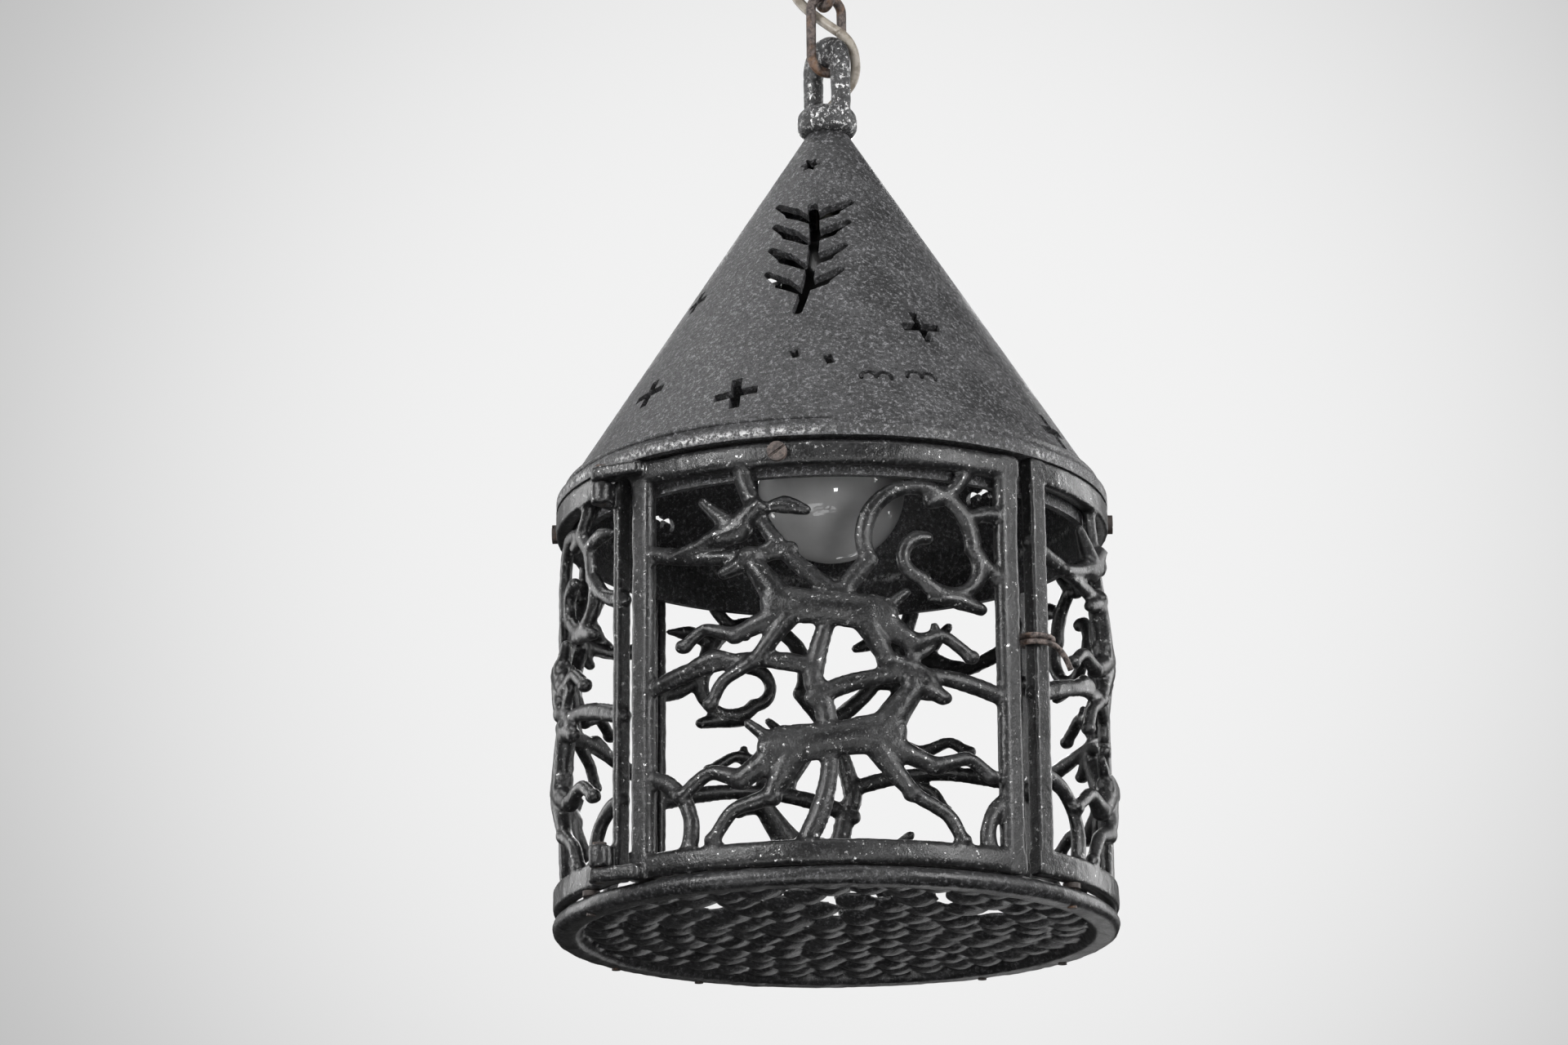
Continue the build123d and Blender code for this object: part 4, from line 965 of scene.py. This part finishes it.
class LANTERN_OT_base(bpy.types.Operator):
    """Cast the base band and its grille of overlapping scales"""

    bl_idname = "lantern.base"
    bl_label = "Base"

    def execute(self, context):
        iron = black_finish("base_iron")
        low, high = box_mm("base_grille")
        around = full_turn(BASE_STEPS)
        inset, lift = BAND_INSET
        band = rounded_box(BASE_BAND - inset, high[2] - low[2] - lift, BASE_ROUND)
        inner = high[0] - BASE_BAND
        parts = [
            carried_round(band, high[0] - BASE_BAND / 2, (low[2] + high[2] + lift) / 2, around, True),
            carried_round(rounded_box(*BASE_LIP), inner + BASE_LIP[0], high[2], around, True),
        ]
        pitch = inner / GRILLE_ROWS
        level = low[2] + SCALE_LEVEL
        chance = np.random.default_rng(7)
        for row in range(GRILLE_ROWS):
            reach = (row + 0.5) * pitch
            count = round(2 * math.pi * reach / pitch)
            places = ROW_TWIST * row + 360 / count * np.arange(count)
            for open_row, bearing in OPEN_SCALES:
                if open_row == row:
                    off = (places - bearing + 180) % 360 - 180
                    places = np.delete(places, np.abs(off).argmin())
            for place in np.radians(places):
                parts.append(self.scale_lump(reach, place, pitch / 2 * SCALE_OVERLAP, level, chance))
        mesh = make_mesh("base_shapes", metres(parts))
        thing = cast("base", mesh, sizes().base_cell)
        finish_piece(thing, iron, "lantern", "black_cast_iron", "base_grille")
        return {"FINISHED"}

    def scale_lump(self, reach, place, radius, level, chance):
        """One scale: a dome hanging down, its depth falling with the square of the radius, under a flat disc; wavy
        and tipped to the back."""
        dome, disc = np.array([0, 0.2, 0.4, 0.6, 0.8, 0.92, 1.0]), np.array([1.0, 0.5, 0.0])
        share = np.concatenate([dome, disc])
        depth = np.concatenate([SCALE_DOME * (dome**2 - 1), np.full_like(disc, SCALE_RIM)])
        turn = full_turn(28)
        wavy = radius * chance.uniform(0.96, 1.08) * (1 + 0.05 * np.sin(3 * turn + chance.uniform(0, 6.3)))
        middle = reach + chance.uniform(-0.8, 0.8)
        x = middle * math.cos(place) + share[:, None] * wavy * np.cos(turn)
        y = middle * math.sin(place) + share[:, None] * wavy * np.sin(turn)
        lean = chance.uniform(-0.06, 0.06) * (x - x.mean()) - chance.uniform(0.03, 0.12) * (y - y.mean())
        height = level + chance.uniform(-0.4, 0.4) + depth[:, None] + lean
        return skin(np.stack([x, y, height], axis=-1))


class LANTERN_OT_eye(bpy.types.Operator):
    """Cast the eye on its collar"""

    bl_idname = "lantern.eye"
    bl_label = "Eye"

    def execute(self, context):
        iron = black_finish("eye_iron")
        thing = cast("eye", copy_of_node("top_eye"), sizes().eye_cell)
        finish_piece(thing, iron, "lantern", "black_cast_iron", "top_eye")
        return {"FINISHED"}


class LANTERN_OT_chain(bpy.types.Operator):
    """Bend the two chain links and rust the hook"""

    bl_idname = "lantern.chain"
    bl_label = "Chain"

    def execute(self, context):
        rust = material_named("rusted_wire", rusty_iron)
        wire = sizes().link_wire
        half = np.linspace(0, np.pi, 30)
        upright = np.linspace(-1, 1, 16)[1:-1]
        flank = np.full_like(upright, LINK_BEND)
        across = np.concatenate([LINK_BEND * np.cos(half), -flank, -LINK_BEND * np.cos(half), flank])
        for seed, (node, body, yaw) in enumerate(LINKS):
            low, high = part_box(node)
            side = (high[2] - low[2] - wire) / 2 - LINK_BEND
            crown = side + LINK_BEND * np.sin(half)
            height = np.concatenate([crown, -side * upright, -crown, side * upright])
            turn = math.radians(yaw)
            middle = (low[2] + high[2]) / 2
            path = np.stack([across * math.cos(turn), across * math.sin(turn), middle + height], axis=-1)
            uneven = 1 + 0.02 * lattice_noise(path, 0.004, 90 + seed)
            thing = new_piece(node + "_bent", tube(path, wire / 2 * uneven, 18, True))
            finish_piece(thing, rust, body, "rusty_iron", node)
        coat_nodes(rust, "ceiling_hook")
        return {"FINISHED"}


class LANTERN_OT_cable(bpy.types.Operator):
    """Run the cable from the ceiling plate through the chain into the collar"""

    bl_idname = "lantern.cable"
    bl_label = "Cable"

    def execute(self, context):
        sheath = soiled_sheath()
        curve = bpy.data.curves.new("cable_line", "CURVE")
        curve.dimensions = "3D"
        curve.resolution_u = 16
        spline = curve.splines.new("NURBS")
        spline.points.add(len(CABLE_ROUTE) - 1)
        for point, place in zip(spline.points, CABLE_ROUTE):
            point.co = (*place, 1.0)
        spline.order_u = 3
        spline.use_endpoint_u = True
        line = bpy.data.objects.new("cable_line", curve)
        context.scene.collection.objects.link(line)
        drawn = bpy.data.meshes.new_from_object(line)
        path = rows_of(drawn)
        bpy.data.objects.remove(line)
        bpy.data.meshes.remove(drawn)
        route = np.array(CABLE_ROUTE)
        cuts = [0]
        for first, second in CABLE_SPLITS:
            split = (route[first] + route[second]) / 2
            cuts.append(int(np.argmin(np.linalg.norm(path - split, axis=1))))
        cuts.append(len(path) - 1)
        for name, bodies, start, end in zip(CABLE_NAMES, CABLE_BODIES, cuts, cuts[1:]):
            stretch = path[start : end + 1]
            thing = new_piece(name + "_sheath", tube(stretch, sizes().cable_diameter / 2, 18))
            thing.data.materials.append(sheath)
            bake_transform(thing)
            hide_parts(name)
        coat_nodes(sheath, "cable_core")
        return {"FINISHED"}


class LANTERN_OT_lamp(bpy.types.Operator):
    """Blow the frosted bulb and finish the lampholder"""

    bl_idname = "lantern.lamp"
    bl_label = "Bulb and lampholder"

    def execute(self, context):
        low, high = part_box("bulb_glass")
        ball = np.linspace(-np.pi / 2, BULB_SHOULDER, 40)
        centre = low[2] + BULB_RADIUS
        globe = np.stack([BULB_RADIUS * np.cos(ball), centre + BULB_RADIUS * np.sin(ball)], axis=-1)
        ease = np.linspace(0, 1, 18)[1:, None]
        foot = globe[-1]
        drop = (foot[0] - BULB_NECK) * math.cos(BULB_SHOULDER) / math.sin(BULB_SHOULDER)
        throat = bent(ease, foot, np.array([BULB_NECK, foot[1] + drop]), np.array([BULB_NECK, high[2]]))
        profile = np.concatenate([globe, throat, [[0.0, high[2]]]])
        thing = new_piece("bulb_frosted", turned(profile, 96), 1e-6)
        finish_piece(thing, frosted_glass(), "lantern", "frosted_glass", "bulb_glass")
        plated = plain_finish("plated_metal", PLATED, 0.34, 1.0, 220.0)
        coat_nodes(plated, "bulb_cap", "bulb_contact", "threaded_tube", "roof_nut")
        coat_nodes(plain_finish("moulded_black", MOULDED, 0.3), "lampholder_cap", "lampholder_body")
        coat_nodes(plain_finish("glazed_ceramic", GLAZED, 0.22), "lampholder_core")
        coat_nodes(plain_finish("pressed_brass", BRASS, 0.34, 1.0), "lampholder_sleeve")
        return {"FINISHED"}


class LANTERN_OT_fittings(bpy.types.Operator):
    """Bend the wire latch and finish the screws, pins, studs and ceiling plate"""

    bl_idname = "lantern.fittings"
    bl_label = "Fittings"

    def execute(self, context):
        rust = material_named("rusted_wire", rusty_iron)
        bright = material_named("fresh_rust", rusty_iron, light=1.5)
        latch = next(joint for joint in frame["joints"] if joint["name"] == "latch_swing")
        centre = np.array(latch["pos_m"])
        out = unit(centre * (1, 1, 0))
        right = np.array([-out[1], out[0], 0.0])
        turn = np.radians(np.linspace(*LATCH_TURNS, 90))
        loops = LATCH_RING * (np.cos(turn)[:, None] * right - np.sin(turn)[:, None] * out)
        loops[:, 2] += np.linspace(LATCH_RISE, -LATCH_RISE, len(turn))
        begin = loops[-1]
        reach, fall = LATCH_TIP
        tip = begin + right * reach - np.array([0, 0, fall])
        tail = bent(np.linspace(0, 1, 24)[1:, None], begin, begin + right * LATCH_KNEE, tip)
        path = centre + np.concatenate([loops, tail])
        thing = new_piece("latch_bent", tube(path, sizes().latch_wire / 2 * LATCH_SLIMNESS, 14))
        finish_piece(thing, bright, "latch", "rusty_iron", "latch_hook")
        coat_nodes(rust, "door_screw")
        dull = material_named("old_rust", rusty_iron, light=0.45)
        coat_nodes(dull, "panel_screws", "base_studs", "hinge_pin_upper", "hinge_pin_lower")
        coat_nodes(plain_finish("plate_paint", colours().paint, 0.5), "ceiling_plate")
        coat_nodes(plain_finish("grommet_rubber", RUBBER, 0.7), "cable_grommet")
        return {"FINISHED"}


def area_light(name, place, target, size, power):
    """A soft rectangular lamp at a place, turned towards a target and unseen by the camera."""
    data = bpy.data.lights.new(name, "AREA")
    data.shape = "RECTANGLE"
    data.size, data.size_y = size
    data.energy = power
    lamp = bpy.data.objects.new(name, data)
    lamp.location = place
    lamp.visible_camera = False
    lamp.rotation_euler = (Vector(target) - Vector(place)).to_track_quat("-Z", "Y").to_euler()
    bpy.context.scene.collection.objects.link(lamp)


class LANTERN_OT_stage(bpy.types.Operator):
    """Set the camera, the soft lights, the pale world and the floor"""

    bl_idname = "lantern.stage"
    bl_label = "Stage"

    def execute(self, context):
        scene = context.scene
        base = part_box("base_grille")[0][2]
        around, yaw, pitch, roll = (math.radians(value) for value in CAMERA_ANGLES)
        yaw -= around
        eye = Vector((CAMERA_DISTANCE * math.sin(around), -CAMERA_DISTANCE * math.cos(around), CAMERA_HEIGHT))
        ahead = Vector((math.sin(yaw) * math.cos(pitch), math.cos(yaw) * math.cos(pitch), math.sin(pitch)))
        right = ahead.cross(Vector((0, 0, 1))).normalized()
        up = right.cross(ahead)
        cosine, sine = math.cos(roll), math.sin(roll)
        right, up = right * cosine + up * sine, up * cosine - right * sine
        data = bpy.data.cameras.new("photo_camera")
        data.lens, data.sensor_width, data.sensor_fit = CAMERA_LENS, SENSOR_WIDTH, "HORIZONTAL"
        camera = bpy.data.objects.new("photo_camera", data)
        turn = Matrix((right, up, -ahead)).transposed().to_4x4()
        camera.matrix_world = Matrix.Translation(eye) @ turn
        scene.collection.objects.link(camera)
        scene.camera = camera
        scene.view_settings.view_transform = "Standard"
        for name, place, size, power in LAMPS:
            area_light(name, place, (0, 0, base + LAMP_AIM), size, power)
        self.pale_world(scene, (ahead + right * BACKDROP_SHIFT).normalized())
        self.pale_floor(scene, base)
        return {"FINISHED"}

    def pale_world(self, scene, ahead):
        """Pale surroundings, brightest behind the lantern, where gloss shows them too; as light they are weaker,
        and weakest from below."""
        world = bpy.data.worlds.new("pale_world")
        scene.world = world
        world.use_nodes = True
        tree = world.node_tree
        shade = tree.nodes["Background"]
        path = new_node(tree, "ShaderNodeLightPath", {}).outputs
        place = new_node(tree, "ShaderNodeTexCoord", {}).outputs["Generated"]
        dot = new_node(tree, "ShaderNodeVectorMath", {0: place, 1: ahead}, operation="DOT_PRODUCT")
        facing = dot.outputs["Value"]
        near = ramp(tree, facing, *BACKDROP_GLOW)
        aside = ramp(tree, facing, *BACKDROP_ASIDE)
        glow = math_node(tree, "MAXIMUM", near, math_node(tree, "MULTIPLY", aside, ASIDE_SHARE))
        backdrop = mix_colour(tree, glow, colours().backdrop_edge, colours().backdrop)
        seen = new_node(tree, "ShaderNodeBackground", {"Color": backdrop})
        above = ramp(tree, height_of(tree, place), *LIGHT_SLOPES)
        feed(tree, shade, {"Color": (1, 1, 1), "Strength": scaled(tree, above, LIGHT_ABOVE, LIGHT_BELOW)})
        rays = math_node(tree, "MAXIMUM", path["Is Camera Ray"], path["Is Transmission Ray"])
        rays = math_node(tree, "MAXIMUM", rays, math_node(tree, "MULTIPLY", path["Is Glossy Ray"], near))
        mix = new_node(tree, "ShaderNodeMixShader", {0: rays, 1: shade.outputs[0], 2: seen.outputs[0]})
        feed(tree, tree.nodes["World Output"], {"Surface": mix.outputs[0]})

    def pale_floor(self, scene, base):
        """A wide pale floor well under the lantern: a flat grid with a faint mottle."""
        step = np.linspace(-FLOOR_REACH, FLOOR_REACH, FLOOR_POINTS)
        x, y = np.meshgrid(step, step)
        points = np.stack([x, y, np.full_like(x, base - FLOOR_DEPTH)], axis=-1).reshape(-1, 3)
        index = np.arange(FLOOR_POINTS**2).reshape(FLOOR_POINTS, FLOOR_POINTS)
        corners = index[:-1, :-1], index[:-1, 1:], index[1:, 1:], index[1:, :-1]
        faces = np.stack(corners, axis=-1).reshape(-1, 4)
        mesh = bpy.data.meshes.new("pale_floor")
        mesh.from_pydata(points.tolist(), [], faces.tolist())
        floor = bpy.data.objects.new("pale_floor", mesh)
        scene.collection.objects.link(floor)
        floor.visible_diffuse = False
        floor.visible_glossy = False
        pale = plain_finish("pale_floor", FLOOR_COLOUR, 0.8, 0.0, 2.0, 0.02, 0.03)
        shader = pale.node_tree.nodes["Principled BSDF"]
        feed(pale.node_tree, shader, {"Emission Color": FLOOR_GLOW, "Emission Strength": 1.0})
        mesh.materials.append(pale)


class LANTERN_PT_panel(bpy.types.Panel):
    """Sizes, colours and steps of the lantern"""

    bl_label = "Lantern"
    bl_idname = "LANTERN_PT_panel"
    bl_space_type = "VIEW_3D"
    bl_region_type = "UI"
    bl_category = "Lantern"

    def draw(self, context):
        layout = self.layout
        for group in (context.scene.lantern_sizes, context.scene.lantern_colours):
            for name in group.__annotations__:
                layout.prop(group, name)
        for operator in OPERATORS:
            layout.operator(operator.bl_idname)


OPERATORS = (
    LANTERN_OT_cable,
    LANTERN_OT_chain,
    LANTERN_OT_eye,
    LANTERN_OT_roof,
    LANTERN_OT_panels,
    LANTERN_OT_door,
    LANTERN_OT_base,
    LANTERN_OT_lamp,
    LANTERN_OT_fittings,
    LANTERN_OT_stage,
)
CLASSES = (LanternSizes, LanternColours, *OPERATORS, LANTERN_PT_panel)


def register():
    """Register the classes and the scene's settings."""
    for kind in CLASSES:
        bpy.utils.register_class(kind)
    bpy.types.Scene.lantern_sizes = PointerProperty(type=LanternSizes)
    bpy.types.Scene.lantern_colours = PointerProperty(type=LanternColours)


def unregister():
    """Take the settings and the classes away again."""
    del bpy.types.Scene.lantern_sizes
    del bpy.types.Scene.lantern_colours
    for kind in reversed(CLASSES):
        bpy.utils.unregister_class(kind)


def main():
    """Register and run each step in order."""
    register()
    for operator in OPERATORS:
        space, name = operator.bl_idname.split(".")
        getattr(getattr(bpy.ops, space), name)()
    bpy.context.view_layer.update()


if __name__ == "__main__":
    main()
